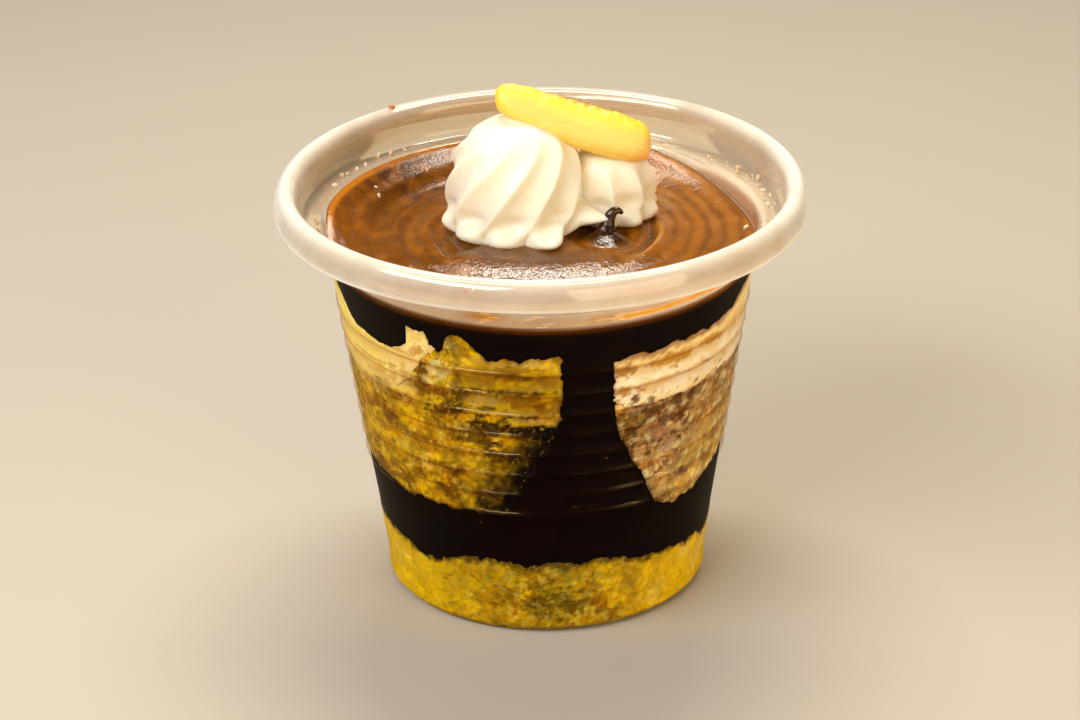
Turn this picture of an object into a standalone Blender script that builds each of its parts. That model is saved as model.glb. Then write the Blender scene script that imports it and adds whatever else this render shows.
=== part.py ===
"""Chocolate cream cup.

A clear ribbed cup holds, from the bottom, a sponge base, chocolate cream, a second sponge and a layer
of pale cream. The chocolate runs on up the front, through a notch in the second sponge, to the layer
on top. Two piped rosettes of whipped cream stand on it, and a slice of yellow fruit lies on them.

The origin is at the middle of the foot, +Z is up, and -Y is the side with the notch.
"""

import math

import bmesh
import bpy
from mathutils import Vector

MM = 0.001

# Driving dimensions of the cup.
RIM_RADIUS = 47.5 * MM
RIM_TOP = 76.1 * MM
RIM_ROLL_HALF_WIDTH = 2.3 * MM
RIM_ROLL_HEIGHT = 4.3 * MM
SKIRT_BOTTOM = 70.9 * MM
LEDGE_INNER_RADIUS = 38.7 * MM
LEDGE_OUTER_RADIUS = 41.3 * MM
GROOVE_RADIUS = 42.7 * MM
LEDGE_HEIGHT = 69.0 * MM
SHOULDER_RADIUS = 29.46 * MM
SHOULDER_HEIGHT = 5.6 * MM
WALL_SLOPE = 0.149
FOOT_RADIUS = 29.3 * MM
FOOT_ROUNDING = 1.1 * MM
FOOT_RING_WIDTH = 2.2 * MM
PUSH_UP = 1.2 * MM
WALL = 0.6 * MM

RIB_COUNT = 8
RIB_LOWEST = 25.8 * MM
RIB_PITCH = 4.15 * MM
RIB_HALF_WIDTH = 0.7 * MM
RIB_DEPTH = 0.28 * MM

# Every piece keeps this far from the next one.
GAP = 0.3 * MM

# Heights of the seams between the layers.
SPONGE_TOP = 14.4 * MM
SECOND_SPONGE_BOTTOM = 25.7 * MM
SECOND_SPONGE_TOP = 46.7 * MM
CREAM_TOP = 57.0 * MM
CHOCOLATE_LEVEL = 64.5 * MM
CHOCOLATE_HIGHEST_EDGE = 68.4 * MM

# The front notch of the second sponge, as height in mm, left and right azimuth in degrees.
NOTCH_OUTLINE = (
    (18, -22, 36),
    (25, -14, 34.5),
    (30, -10, 31),
    (35, -5, 26.5),
    (40, 1, 22),
    (45, 4.5, 20),
    (52, 4, 19),
    (62, 4, 19),
)
NOTCH_DEPTH = 13 * MM
LUMP_LEFT = -34
LUMP_RIGHT = 12
LUMP_DEPTH = 11 * MM

# The swirl that the palette knife left in the chocolate.
SWIRL_CENTRE = Vector((2.0, 6.0)) * MM
SWIRL_PITCH = 6.2 * MM
SWIRL_HEIGHT = 0.42 * MM
SWIRL_PLATEAU_RADIUS = 21 * MM
SWIRL_STEP = 0.7 * MM
CALM_RADIUS = 15 * MM

# Piped cream. Profiles are radius and height above the chocolate, in mm.
LARGE_ROSETTE_PLACE = Vector((-4.3, 6.0)) * MM
LARGE_ROSETTE_PROFILE = (
    (12.4, 0.0), (13.1, 1.3), (13.1, 3.8), (13.1, 7.0), (12.6, 10.0), (11.2, 13.0),
    (9.0, 16.0), (6.0, 18.6), (3.0, 20.2), (0.0, 20.8),
)
LARGE_ROSETTE_LOBES = 12
LARGE_ROSETTE_TWIST = -60
SMALL_ROSETTE_PLACE = Vector((12.0, 10.5)) * MM
SMALL_ROSETTE_PROFILE = (
    (8.0, 0.0), (8.6, 1.3), (8.9, 4.5), (8.5, 7.5), (7.0, 10.5), (4.5, 12.6), (0.0, 13.6),
)
SMALL_ROSETTE_LOBES = 9
SMALL_ROSETTE_TWIST = -45
CREASE_DEPTH = 0.16
TAIL_PATH = ((2, -1.0, 68.2, 3.6), (6, -2.0, 67.8, 2.7), (8.8, -1.9, 68.1, 1.5), (10.6, -1.6, 68.6, 0.35))
PEAK_PATH = (
    (11.2, -2.4, 62.0, 4.8), (11.3, -2.2, 64.7, 3.5), (11.6, -1.6, 66.0, 1.9), (12.0, -1.1, 67.6, 1.2),
    (12.4, -0.9, 69.3, 1.1), (13.3, -0.9, 70.0, 1.0), (14.4, -0.9, 69.5, 0.45),
)

# The fruit slice, from its high left end to its low right end, as middle, half height and half depth.
FRUIT_SECTIONS = (
    (-7.9, 6.8, 88.5, 1.2, 1.6), (-6.9, 6.9, 88.4, 2.7, 3.2), (-3.6, 7.2, 87.6, 3.6, 4.4),
    (2.2, 7.5, 84.8, 4.1, 5.1), (8.0, 7.8, 82.4, 4.5, 5.4), (13.4, 8.1, 80.4, 4.7, 5.2),
    (17.5, 8.5, 78.9, 4.1, 4.1), (19.6, 8.8, 78.1, 2.3, 2.3),
)
FRUIT_SIDES = 12

CUP_SEGMENTS = 48
LAYER_SEGMENTS = 48
REACH = 3 * MM


def clear_scene():
    for obj in list(bpy.data.objects):
        bpy.data.objects.remove(obj)


def new_collection(name):
    collection = bpy.data.collections.new(name)
    bpy.context.scene.collection.children.link(collection)
    return collection


def finish(name, colour, roughness, alpha=1.0):
    """A plain Principled material."""
    material = bpy.data.materials.new(name)
    material.use_nodes = True
    shader = material.node_tree.nodes["Principled BSDF"]
    shader.inputs["Base Color"].default_value = (*colour, 1.0)
    shader.inputs["Roughness"].default_value = roughness
    shader.inputs["Metallic"].default_value = 0.0
    shader.inputs["Alpha"].default_value = alpha
    return material


def smooth_step(value):
    t = min(max(value, 0.0), 1.0)
    return t * t * (3 - 2 * t)


def bump(value, centre, width):
    return math.exp(-(((value - centre) / width) ** 2))


def azimuth(x, y):
    """Degrees round the cup: 0 at the front, -Y, and 90 at the right, +X."""
    return math.degrees(math.atan2(x, -y))


# The cup.


def wall_radius(z):
    """Radius of the wall's outer face between its ribs."""
    if z < SHOULDER_HEIGHT:
        return FOOT_RADIUS
    return SHOULDER_RADIUS + (z - SHOULDER_HEIGHT) * WALL_SLOPE


def rim_roll(thickness, points):
    """The rolled rim, from its inner side over the top to its outer side, as a half ellipse."""
    middle = RIM_RADIUS - RIM_ROLL_HALF_WIDTH
    half_width = RIM_ROLL_HALF_WIDTH - thickness
    height = RIM_ROLL_HEIGHT - thickness
    arc = []
    for step in range(points + 1):
        angle = math.pi * step / points
        arc.append((middle - half_width * math.cos(angle), RIM_TOP - RIM_ROLL_HEIGHT + height * math.sin(angle)))
    return arc


def rib_points():
    """The ribs down the outer face, from the top one."""
    points = []
    for index in reversed(range(RIB_COUNT)):
        middle = RIB_LOWEST + index * RIB_PITCH
        points.append((wall_radius(middle + RIB_HALF_WIDTH), middle + RIB_HALF_WIDTH))
        points.append((wall_radius(middle) + RIB_DEPTH, middle))
        points.append((wall_radius(middle - RIB_HALF_WIDTH), middle - RIB_HALF_WIDTH))
    return points


def cup_profile():
    """Once round the wall: out over the floor, up inside, over the rim and down outside."""
    inner_foot = FOOT_RADIUS - WALL
    floor = PUSH_UP + WALL
    under_ledge = LEDGE_HEIGHT - WALL
    inside = [
        (0.0, floor),
        (inner_foot - FOOT_ROUNDING, floor),
        (inner_foot, floor + FOOT_ROUNDING),
        (wall_radius(SHOULDER_HEIGHT) - WALL, SHOULDER_HEIGHT + WALL),
        (LEDGE_INNER_RADIUS - WALL / 2, LEDGE_HEIGHT - WALL),
        (LEDGE_INNER_RADIUS, LEDGE_HEIGHT - WALL / 4),
        (LEDGE_OUTER_RADIUS, LEDGE_HEIGHT),
        (GROOVE_RADIUS - WALL / 2, LEDGE_HEIGHT + WALL / 4),
    ]
    outside = [
        (RIM_RADIUS - WALL, SKIRT_BOTTOM),
        (RIM_RADIUS - 2 * WALL, SKIRT_BOTTOM + WALL / 2),
    ]
    under_rim = list(reversed(rim_roll(WALL, 6)))
    below = [
        (GROOVE_RADIUS + WALL / 2, under_ledge),
        (wall_radius(under_ledge) + WALL, under_ledge - WALL / 4),
        (wall_radius(under_ledge - WALL), under_ledge - 2 * WALL),
    ]
    foot = [
        (wall_radius(SHOULDER_HEIGHT), SHOULDER_HEIGHT),
        (FOOT_RADIUS, SHOULDER_HEIGHT - WALL),
        (FOOT_RADIUS, FOOT_ROUNDING),
        (FOOT_RADIUS - FOOT_ROUNDING * 0.3, FOOT_ROUNDING * 0.3),
        (FOOT_RADIUS - FOOT_ROUNDING, 0.0),
        (FOOT_RADIUS - FOOT_ROUNDING - FOOT_RING_WIDTH, 0.0),
        (FOOT_RADIUS - FOOT_ROUNDING - FOOT_RING_WIDTH - PUSH_UP / 2, PUSH_UP),
        (0.0, PUSH_UP),
    ]
    return inside + rim_roll(0.0, 9) + outside + under_rim + below + rib_points() + foot


def turned(name, profile, segments):
    """A solid turned about +Z from a profile that runs with its material on the right."""
    mesh = bpy.data.meshes.new(name)
    edges = [(index, index + 1) for index in range(len(profile) - 1)]
    mesh.from_pydata([(r, 0.0, z) for r, z in profile], edges, [])
    obj = bpy.data.objects.new(name, mesh)
    bpy.context.scene.collection.objects.link(obj)
    screw = obj.modifiers.new("turn", "SCREW")
    screw.axis = "Z"
    screw.steps = segments
    screw.render_steps = segments
    screw.use_merge_vertices = True
    screw.merge_threshold = 0.00001
    return obj


def bake(obj):
    """Puts the object's evaluated shape in its mesh, with no modifiers left."""
    graph = bpy.context.evaluated_depsgraph_get()
    mesh = bpy.data.meshes.new_from_object(obj.evaluated_get(graph))
    obj.modifiers.clear()
    obj.data = mesh
    return obj


def triangulate(obj):
    """Splits warped quads the same way in every piece, so that facing pieces stay parallel."""
    shape = bmesh.new()
    shape.from_mesh(obj.data)
    bmesh.ops.triangulate(shape, faces=shape.faces, quad_method="FIXED", ngon_method="EAR_CLIP")
    shape.to_mesh(obj.data)
    shape.free()
    return obj


def join(obj, other, operation):
    """Applies one exact Boolean with the other object, which is then removed."""
    boolean = obj.modifiers.new("join", "BOOLEAN")
    boolean.operation = operation
    boolean.solver = "EXACT"
    boolean.object = other
    bake(obj)
    bpy.data.objects.remove(other)
    return obj


# The layers.


def filling_radius(z):
    """How far out the filling reaches at a height, a gap short of the wall."""
    return wall_radius(z) - WALL - GAP


def sponge_seam(az, share):
    """Uneven top of the sponge base."""
    waves = 0.75 * math.sin(math.radians(3 * az + 40)) + 0.5 * math.sin(math.radians(7 * az)) * share
    right_fall = 1.6 * bump(az, 75, 25) * share
    return SPONGE_TOP + (waves - right_fall) * MM


def second_bottom_seam(az, share):
    """Underside of the second sponge, which sags at the right of the notch."""
    sag = 3.3 * bump(az, 47, 15) * share**3
    waves = 0.25 * math.sin(math.radians(5 * az)) * share
    return SECOND_SPONGE_BOTTOM + (waves - sag) * MM


def second_top_seam(az, share):
    """Where the pale cream lies on the second sponge."""
    return SECOND_SPONGE_TOP + 0.35 * math.sin(math.radians(5 * az + 60)) * share * MM


def cream_seam(az, share):
    """Top of the cream and of the sponge crumb beside it, below the chocolate."""
    left_dip = -1.5 * bump(az, -55, 12)
    crumb = 4.0 * bump(az, -36, 3) + 4.2 * bump(az, -24, 5)
    right_rise = 3.4 * smooth_step((az - 40) / 35) if az > 0 else 0.0
    left_rise = 3.4 * smooth_step((-az - 60) / 20) if az < 0 else 0.0
    back = smooth_step((abs(az) - 120) / 50)
    rise = (left_dip + crumb + right_rise + left_rise) * (1 - back) + 2.4 * back
    return CREAM_TOP + rise * share**4 * MM


def edge_height(az):
    """How high the chocolate's edge climbs the wall: to just under the ledge from the left to the back."""
    az = (az + 180) % 360 - 180
    lift = smooth_step((-az - 68) / 32) if az < 0 else smooth_step((az - 105) / 55)
    return CHOCOLATE_LEVEL + (CHOCOLATE_HIGHEST_EDGE - CHOCOLATE_LEVEL) * lift


def chocolate_top(az, share):
    """The swirled top: calm under the piped cream, a spiral of low ridges round it, and a raised edge."""
    radius = share * filling_radius(CHOCOLATE_LEVEL)
    x = radius * math.sin(math.radians(az)) - SWIRL_CENTRE.x
    y = -radius * math.cos(math.radians(az)) - SWIRL_CENTRE.y
    distance = math.hypot(x, y)
    turn = math.atan2(y, x) / (2 * math.pi)
    outside = smooth_step((distance - CALM_RADIUS) / SWIRL_PITCH) * (1 - share**10)
    ridge = SWIRL_HEIGHT * math.cos(2 * math.pi * (distance / SWIRL_PITCH - turn)) * outside
    step = SWIRL_STEP * smooth_step((distance - SWIRL_PLATEAU_RADIUS) / SWIRL_PITCH) * (1 - share**6)
    climb = (edge_height(az) - CHOCOLATE_LEVEL) * smooth_step((share - 0.82) / 0.18)
    return CHOCOLATE_LEVEL + ridge - step + climb


def layer(name, bottom, top, rings, side_rows=1, collar=0.0, half_turned=False, rings_below=6):
    """A round layer between two seams. The blank is turned, then its faces are settled on the seams.

    A collar carries a cutter on past the wall without moving the seams inside it. Of two layers that
    meet in a Boolean, one is turned by half a segment, so that their edges cross cleanly.
    """
    above = [ring / rings for ring in range(rings)]
    below = [ring / rings_below for ring in range(rings_below)]
    side = [1.0 - row / side_rows for row in range(side_rows + 1)]
    if collar:
        above.append(1.0)
        below.append(1.0)
    rim = 2.0 if collar else 1.0
    profile = [(r, 1.0) for r in above] + [(rim, h) for h in side] + [(r, 0.0) for r in reversed(below)]
    obj = bake(turned(name, profile, LAYER_SEGMENTS))
    for vertex in obj.data.vertices:
        x, y, height = vertex.co
        blank = math.hypot(x, y)
        share = min(blank, 1.0)
        az = azimuth(x, y) + (180 / LAYER_SEGMENTS if half_turned else 0.0)
        z = bottom(az, share) * (1 - height) + top(az, share) * height
        reach = share * filling_radius(z) + (collar if blank > 1.5 else 0.0)
        vertex.co = (reach * math.sin(math.radians(az)), -reach * math.cos(math.radians(az)), z)
    return triangulate(obj)


def shifted(seam, amount):
    return lambda az, share: seam(az, share) + amount


def level(z):
    return lambda az, share: z


def loft(name, sections):
    """A closed skin over rings of equal count, each a list of points."""
    shape = bmesh.new()
    rings = [[shape.verts.new(point) for point in section] for section in sections]
    count = len(rings[0])
    for lower, upper in zip(rings, rings[1:]):
        for index in range(count):
            after = (index + 1) % count
            shape.faces.new((lower[index], lower[after], upper[after], upper[index]))
    shape.faces.new(list(reversed(rings[0])))
    shape.faces.new(rings[-1])
    bmesh.ops.recalc_face_normals(shape, faces=shape.faces)
    mesh = bpy.data.meshes.new(name)
    shape.to_mesh(mesh)
    shape.free()
    obj = bpy.data.objects.new(name, mesh)
    bpy.context.scene.collection.objects.link(obj)
    return triangulate(obj)


def wedge_section(z, left, right, depth, grow):
    """A rounded bite into the filling from outside the wall, between two azimuths."""
    wall = filling_radius(z)
    spread = math.degrees(grow / wall)
    left, right = left - spread, right + spread
    middle, half = (left + right) / 2, (right - left) / 2
    outer = wall + REACH
    points = []
    for share in (-1.0, -0.5, 0.0, 0.5, 1.0):
        az = math.radians(middle + half * share)
        points.append((outer * math.sin(az), -outer * math.cos(az), z))
    for step in range(9):
        angle = math.pi * step / 8
        az = math.radians(middle + half * math.cos(angle))
        radius = wall - (depth + grow) * math.sin(angle) ** 0.5
        points.append((radius * math.sin(az), -radius * math.cos(az), z))
    return points


def notch(grow):
    sections = [wedge_section(z * MM, left, right, NOTCH_DEPTH, grow) for z, left, right in NOTCH_OUTLINE]
    return loft("notch", sections)


def lump(grow):
    sections = [wedge_section(z * MM, LUMP_LEFT, LUMP_RIGHT, LUMP_DEPTH, grow) for z in (40, 70)]
    return loft("lump", sections)


def make_sponge_base():
    floor = PUSH_UP + WALL + GAP
    obj = layer("sponge_base", level(floor), shifted(sponge_seam, -GAP / 2), 5, 2)
    corner = FOOT_ROUNDING
    for vertex in obj.data.vertices:
        radius = math.hypot(vertex.co.x, vertex.co.y)
        if vertex.co.z < floor + corner and radius > filling_radius(0) - corner / 2:
            vertex.co.x *= 1 - corner / radius
            vertex.co.y *= 1 - corner / radius
    return obj


def make_second_sponge():
    """The second sponge, with the notch cut in it and one lump of it standing up through the cream."""
    obj = layer(
        "second_sponge", shifted(second_bottom_seam, GAP / 2), shifted(cream_seam, -GAP / 2), 6, 2
    )
    above = layer("above", shifted(second_top_seam, -GAP / 2), level(CHOCOLATE_LEVEL), 6, 1, REACH, True)
    join(above, lump(-GAP / 2), "DIFFERENCE")
    join(obj, above, "DIFFERENCE")
    return join(obj, notch(GAP / 2), "DIFFERENCE")


def make_cream_layer():
    obj = layer("cream_layer", shifted(second_top_seam, GAP / 2), shifted(cream_seam, -GAP / 2), 6, 2)
    join(obj, lump(GAP / 2), "DIFFERENCE")
    return join(obj, notch(GAP / 2), "DIFFERENCE")


def make_chocolate():
    """Lower layer, front column and top layer in one, with the small peak that the spoon pulled up."""
    obj = layer("chocolate_cream", shifted(sponge_seam, GAP / 2), chocolate_top, 19, 3, half_turned=True)
    middle = layer(
        "middle", shifted(second_bottom_seam, -GAP / 2), shifted(cream_seam, GAP / 2), 6, 2, REACH
    )
    join(middle, notch(-GAP / 2), "DIFFERENCE")
    join(obj, middle, "DIFFERENCE")
    return join(obj, drawn_tip("peak", PEAK_PATH), "UNION")


# The topping.


def drawn_tip(name, path):
    """A tapering tip along a path of (x, y, z, radius) in mm, as a curve with round sections."""
    curve = bpy.data.curves.new(name, "CURVE")
    curve.dimensions = "3D"
    curve.bevel_depth = MM
    curve.bevel_resolution = 2
    curve.resolution_u = 2
    curve.use_fill_caps = True
    spline = curve.splines.new("BEZIER")
    spline.bezier_points.add(len(path) - 1)
    for point, (x, y, z, radius) in zip(spline.bezier_points, path):
        point.co = (x * MM, y * MM, z * MM)
        point.radius = radius
        point.handle_left_type = "AUTO"
        point.handle_right_type = "AUTO"
    line = bpy.data.objects.new(name, curve)
    bpy.context.scene.collection.objects.link(line)
    graph = bpy.context.evaluated_depsgraph_get()
    mesh = bpy.data.meshes.new_from_object(line.evaluated_get(graph))
    bpy.data.objects.remove(line)
    welded = bmesh.new()
    welded.from_mesh(mesh)
    bmesh.ops.remove_doubles(welded, verts=welded.verts, dist=0.00001)
    bmesh.ops.recalc_face_normals(welded, faces=welded.faces)
    welded.to_mesh(mesh)
    welded.free()
    solid = bpy.data.objects.new(name, mesh)
    bpy.context.scene.collection.objects.link(solid)
    return solid


def make_rosette(name, place, profile, lobes, twist):
    """Star-piped cream: a turned dome whose sides fall into lobes, twisted as they rise."""
    height = profile[-1][1] * MM
    outline = [(r * MM, z * MM) for r, z in reversed(profile)] + [(0.0, 0.0)]
    obj = bake(turned(name, outline, lobes * 4))
    for vertex in obj.data.vertices:
        x, y, z = vertex.co
        az = math.atan2(y, x)
        rise = min(max(z / height, 0.0), 1.0)
        crest = abs(math.cos(az * lobes / 2))
        shrink = 1 - CREASE_DEPTH * (1 - crest) * (1 - 0.5 * rise)
        turn = az + math.radians(twist) * (1 - rise) ** 1.3
        reach = math.hypot(x, y) * shrink
        base = CHOCOLATE_LEVEL + GAP
        vertex.co = (place.x + reach * math.cos(turn), place.y + reach * math.sin(turn), base + z)
    return obj


def fruit_section(x, y, z, half_height, half_depth):
    """A rounded wedge: broad and domed above, flatter below."""
    points = []
    for side in range(FRUIT_SIDES):
        angle = 2 * math.pi * side / FRUIT_SIDES
        flat = 0.75 if math.sin(angle) < 0 else 1.0
        points.append(
            (
                x * MM,
                (y + half_depth * math.cos(angle)) * MM,
                (z + half_height * math.sin(angle) * flat) * MM,
            )
        )
    return points


def make_fruit(grow=0.0):
    """The slice, or a grown copy that cuts its seat in the cream."""
    sections = []
    for index, (x, y, z, half_height, half_depth) in enumerate(FRUIT_SECTIONS):
        end = -1 if index == 0 else 1 if index == len(FRUIT_SECTIONS) - 1 else 0
        sections.append(
            fruit_section(x + end * grow, y, z, half_height + grow, half_depth + grow)
        )
    return loft("fruit_slice", sections)


def grown(obj, amount):
    """A copy with every face moved out."""
    copy = bpy.data.objects.new("grown", obj.data.copy())
    bpy.context.scene.collection.objects.link(copy)
    shape = bmesh.new()
    shape.from_mesh(copy.data)
    shape.normal_update()
    moves = [vertex.normal * amount for vertex in shape.verts]
    for vertex, move in zip(shape.verts, moves):
        vertex.co += move
    shape.to_mesh(copy.data)
    shape.free()
    return copy


def settle(obj, collection, material):
    """Welds the Boolean's slivers, shades the piece and puts it in the part's collection."""
    shape = bmesh.new()
    shape.from_mesh(obj.data)
    bmesh.ops.remove_doubles(shape, verts=shape.verts, dist=0.00002)
    bmesh.ops.dissolve_degenerate(shape, edges=shape.edges, dist=0.000002)
    shape.to_mesh(obj.data)
    shape.free()
    obj.data.materials.clear()
    obj.data.materials.append(material)
    for holder in list(obj.users_collection):
        holder.objects.unlink(obj)
    collection.objects.link(obj)
    obj.data.shade_smooth()
    obj.data.set_sharp_from_angle(angle=math.radians(40))


def main():
    clear_scene()
    part = new_collection("chocolate_cream_cup")

    clear_plastic = finish("clear_plastic", (0.86, 0.85, 0.80), 0.12, 0.35)
    sponge = finish("sponge", (0.62, 0.40, 0.08), 0.9)
    soaked_sponge = finish("soaked_sponge", (0.46, 0.29, 0.07), 0.85)
    chocolate = finish("chocolate_cream", (0.13, 0.055, 0.02), 0.35)
    pale_cream = finish("pale_cream", (0.85, 0.68, 0.42), 0.6)
    whipped_cream = finish("whipped_cream", (0.92, 0.88, 0.78), 0.5)
    fruit = finish("yellow_fruit", (0.95, 0.72, 0.10), 0.4)

    cup = bake(turned("cup", cup_profile(), CUP_SEGMENTS))
    large = make_rosette(
        "large_rosette",
        LARGE_ROSETTE_PLACE,
        LARGE_ROSETTE_PROFILE,
        LARGE_ROSETTE_LOBES,
        LARGE_ROSETTE_TWIST,
    )
    join(large, drawn_tip("tail", TAIL_PATH), "UNION")
    small = make_rosette(
        "small_rosette",
        SMALL_ROSETTE_PLACE,
        SMALL_ROSETTE_PROFILE,
        SMALL_ROSETTE_LOBES,
        SMALL_ROSETTE_TWIST,
    )
    join(small, grown(large, GAP * 1.3), "DIFFERENCE")
    join(large, make_fruit(GAP * 1.2), "DIFFERENCE")
    join(small, make_fruit(GAP * 1.2), "DIFFERENCE")

    settle(cup, part, clear_plastic)
    settle(make_sponge_base(), part, sponge)
    settle(make_second_sponge(), part, soaked_sponge)
    settle(make_cream_layer(), part, pale_cream)
    settle(make_chocolate(), part, chocolate)
    settle(large, part, whipped_cream)
    settle(small, part, whipped_cream)
    settle(make_fruit(), part, fruit)


main()
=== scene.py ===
"""Looks of the chocolate cream cup: sponge, chocolate and cream in a clear ribbed cup, with piped cream.

The script is laid out as an add-on. Run as a script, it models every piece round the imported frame.
Lengths inside the functions are in millimetres, and azimuths in degrees from the front, -Y, towards +X.
"""

import math
import random

import bpy
import numpy as np
from bpy.props import FloatProperty, FloatVectorProperty, IntProperty, PointerProperty
from mathutils import Euler, Matrix, Vector, noise


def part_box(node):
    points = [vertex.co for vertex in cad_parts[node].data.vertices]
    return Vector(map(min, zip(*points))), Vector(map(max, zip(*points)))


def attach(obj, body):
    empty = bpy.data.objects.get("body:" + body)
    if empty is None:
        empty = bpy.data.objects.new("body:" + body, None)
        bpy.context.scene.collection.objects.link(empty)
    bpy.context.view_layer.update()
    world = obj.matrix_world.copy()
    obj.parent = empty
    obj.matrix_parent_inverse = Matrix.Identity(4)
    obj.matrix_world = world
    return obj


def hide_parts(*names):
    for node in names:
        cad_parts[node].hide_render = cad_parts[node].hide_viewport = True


bl_info = {
    "name": "Chocolate Cream Cup",
    "version": (1, 0, 0),
    "blender": (4, 5, 0),
    "location": "3D View > Sidebar > Dessert",
    "description": "Models a layered chocolate cream dessert in its clear cup",
    "category": "Add Mesh",
}

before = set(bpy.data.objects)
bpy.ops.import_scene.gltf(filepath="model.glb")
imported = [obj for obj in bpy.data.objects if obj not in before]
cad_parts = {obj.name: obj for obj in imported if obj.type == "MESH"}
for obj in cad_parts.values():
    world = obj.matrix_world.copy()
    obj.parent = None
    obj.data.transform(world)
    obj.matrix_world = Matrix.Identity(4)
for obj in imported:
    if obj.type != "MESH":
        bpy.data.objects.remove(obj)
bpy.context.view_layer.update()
CUP_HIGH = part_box("cup")[1]

MM = 0.001
BODY = "root"

# Measures of the cup, and the chocolate's level and its climb at the back, in mm. The wall's slope is a
# plain ratio.
RIM_RADIUS = CUP_HIGH[0] / MM
RIM_TOP = 76.1
ROLL_HALF_WIDTH = 2.3
ROLL_HEIGHT = 4.3
SKIRT_BOTTOM = 70.9
LEDGE_INNER = 38.7
LEDGE_OUTER = 41.3
GROOVE = 42.7
LEDGE_HEIGHT = 69.0
FOOT_RADIUS = 29.3
FOOT_ROUNDING = 1.1
FOOT_RING_WIDTH = 2.2
PUSH_UP = 1.2
SHOULDER_RADIUS = 29.46
SHOULDER_HEIGHT = 5.6
WALL_SLOPE = 0.149
WALL = 0.6
SINK = 0.4
RIB_COUNT = 8
RIB_LOWEST = 25.8
RIB_PITCH = 4.15
CHOCOLATE_LEVEL = 64.5
BACK_CLIMB = 4.3

# Section of one rib from its top: height over its middle in mm, and share of its depth.
RIB_SHAPE = (
    (0.7, 0.0), (0.45, 0.06), (0.32, 0.35), (0.2, 0.78), (0.08, 0.98), (-0.06, 1.0), (-0.22, 0.85),
    (-0.4, 0.45), (-0.6, 0.1), (-0.8, 0.0),
)

# Heights in mm of the wall's rows of points beside the chocolate's edge.
EDGE_ROWS = (62.4, 63.0, 63.5, 64.0, 64.4, 64.8, 65.3, 65.9, 66.6, 67.3)

# Seams between the layers at the wall, as azimuth in degrees and height in mm. The sides of the chocolate
# column and of the lump of sponge are heights and azimuths.
BASE_TOP = (
    (-180, 14.0), (-110, 14.4), (-78, 14.2), (-70, 13.6), (-62, 13.8), (-52, 12.8), (-44, 12.2),
    (-36, 13.2), (-28, 14.7), (-18, 15.6), (-12, 15.0), (-7, 14.0), (-3, 14.6), (1, 15.4), (6, 14.8),
    (11, 14.8), (16, 15.5), (22, 15.2), (28, 13.8), (36, 13.2), (45, 12.8), (60, 11.8), (70, 10.8),
    (90, 12.5), (130, 14.5), (180, 14.0),
)
SECOND_BOTTOM = (
    (-180, 26.0), (-110, 26.3), (-70, 26.0), (-45, 25.4), (-25, 25.0), (-12, 25.6), (20, 25.6),
    (37, 24.6), (42, 23.2), (46, 22.7), (50, 23.2), (55, 24.0), (65, 25.5), (75, 27.0), (110, 26.5),
    (180, 26.0),
)
CREAM_BOTTOM = (
    (-180, 47.0), (-110, 47.6), (-75, 47.6), (-60, 46.8), (-50, 48.4), (-40, 48.0), (20, 47.4),
    (35, 46.4), (50, 46.8), (62, 47.4), (75, 47.0), (120, 46.6), (180, 47.0),
)
CREAM_TOP = (
    (-180, 59.0), (-110, 60.5), (-74, 60.6), (-70, 59.4), (-66, 57.4), (-60, 55.6), (-50, 55.0),
    (-44, 55.8), (-40.5, 57.0), (-39.4, 57.8), (-38.8, 60.6), (-32.8, 61.2), (-32.0, 58.4), (-29, 57.4),
    (-26.5, 60.6), (-22, 61.6), (-19, 60.0), (-15, 57.4), (-5, 57.8), (3, 57.9), (8, 57.2), (19, 56.2),
    (28, 56.8), (45, 57.2), (56, 57.3), (63, 58.2), (68, 59.8), (75, 61.0), (100, 61.0), (140, 59.5),
    (180, 59.0),
)
COLUMN_LEFT = (
    (20, -22), (24, -15), (28, -10), (32, -6), (36, -2.5), (40, 1.5), (43, 3.6), (50, 5.2), (57, 5.0),
    (64, 6),
)
COLUMN_RIGHT = (
    (20, 42), (24, 37), (28, 33.6), (32, 30), (36, 26), (40, 22.5), (45, 20.4), (51, 18.6), (57, 19.6),
    (64, 21),
)
COLUMN_DEPTH = 13.0
COLUMN_MIDDLE = 12.0
LUMP_EDGE = (
    (45, -50), (48, -46), (50.5, -40), (53, -38), (55, -35.5), (57, -31.5), (59, -30.5), (63, -30),
)
LUMP_LEFT = -56.0
LUMP_RIGHT = 19.0

# Stains and clumps that show at the wall. The lump's and the cream's tables also hold a few thin lines at
# rib heights that are painted rib shade and painted rib highlights. Columns: azimuth and height of the
# middle, half width in degrees, half height in mm, colour and strength.
BASE_STAINS = (
    (-60, 9.4, 7, 1.0, (255, 214, 96), 0.7), (-20, 6.4, 6, 2.6, (168, 104, 4), 0.8),
    (-12, 8.4, 4, 1.6, (132, 84, 4), 0.8), (4, 6.6, 11, 3.0, (130, 98, 8), 0.75),
    (-6, 6.6, 3.0, 2.0, (100, 68, 2), 0.6), (10, 4.8, 4, 2.0, (100, 72, 4), 0.7),
    (18.5, 6.0, 4, 2.0, (196, 108, 4), 0.85), (22, 2.6, 5, 1.6, (120, 70, 4), 0.8),
    (31, 8.0, 5, 3.0, (196, 140, 4), 0.5), (42, 5.0, 5, 2.4, (240, 204, 104), 0.6),
    (55, 9.8, 6, 1.2, (252, 220, 130), 0.65), (69, 7.0, 8, 3.6, (250, 220, 140), 0.6),
    (-24, 12.6, 10, 1.4, (176, 118, 6), 0.6), (-4, 11.5, 5, 2.0, (150, 108, 6), 0.6),
    (27, 11.4, 10, 1.4, (178, 132, 8), 0.6),
)
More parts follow.
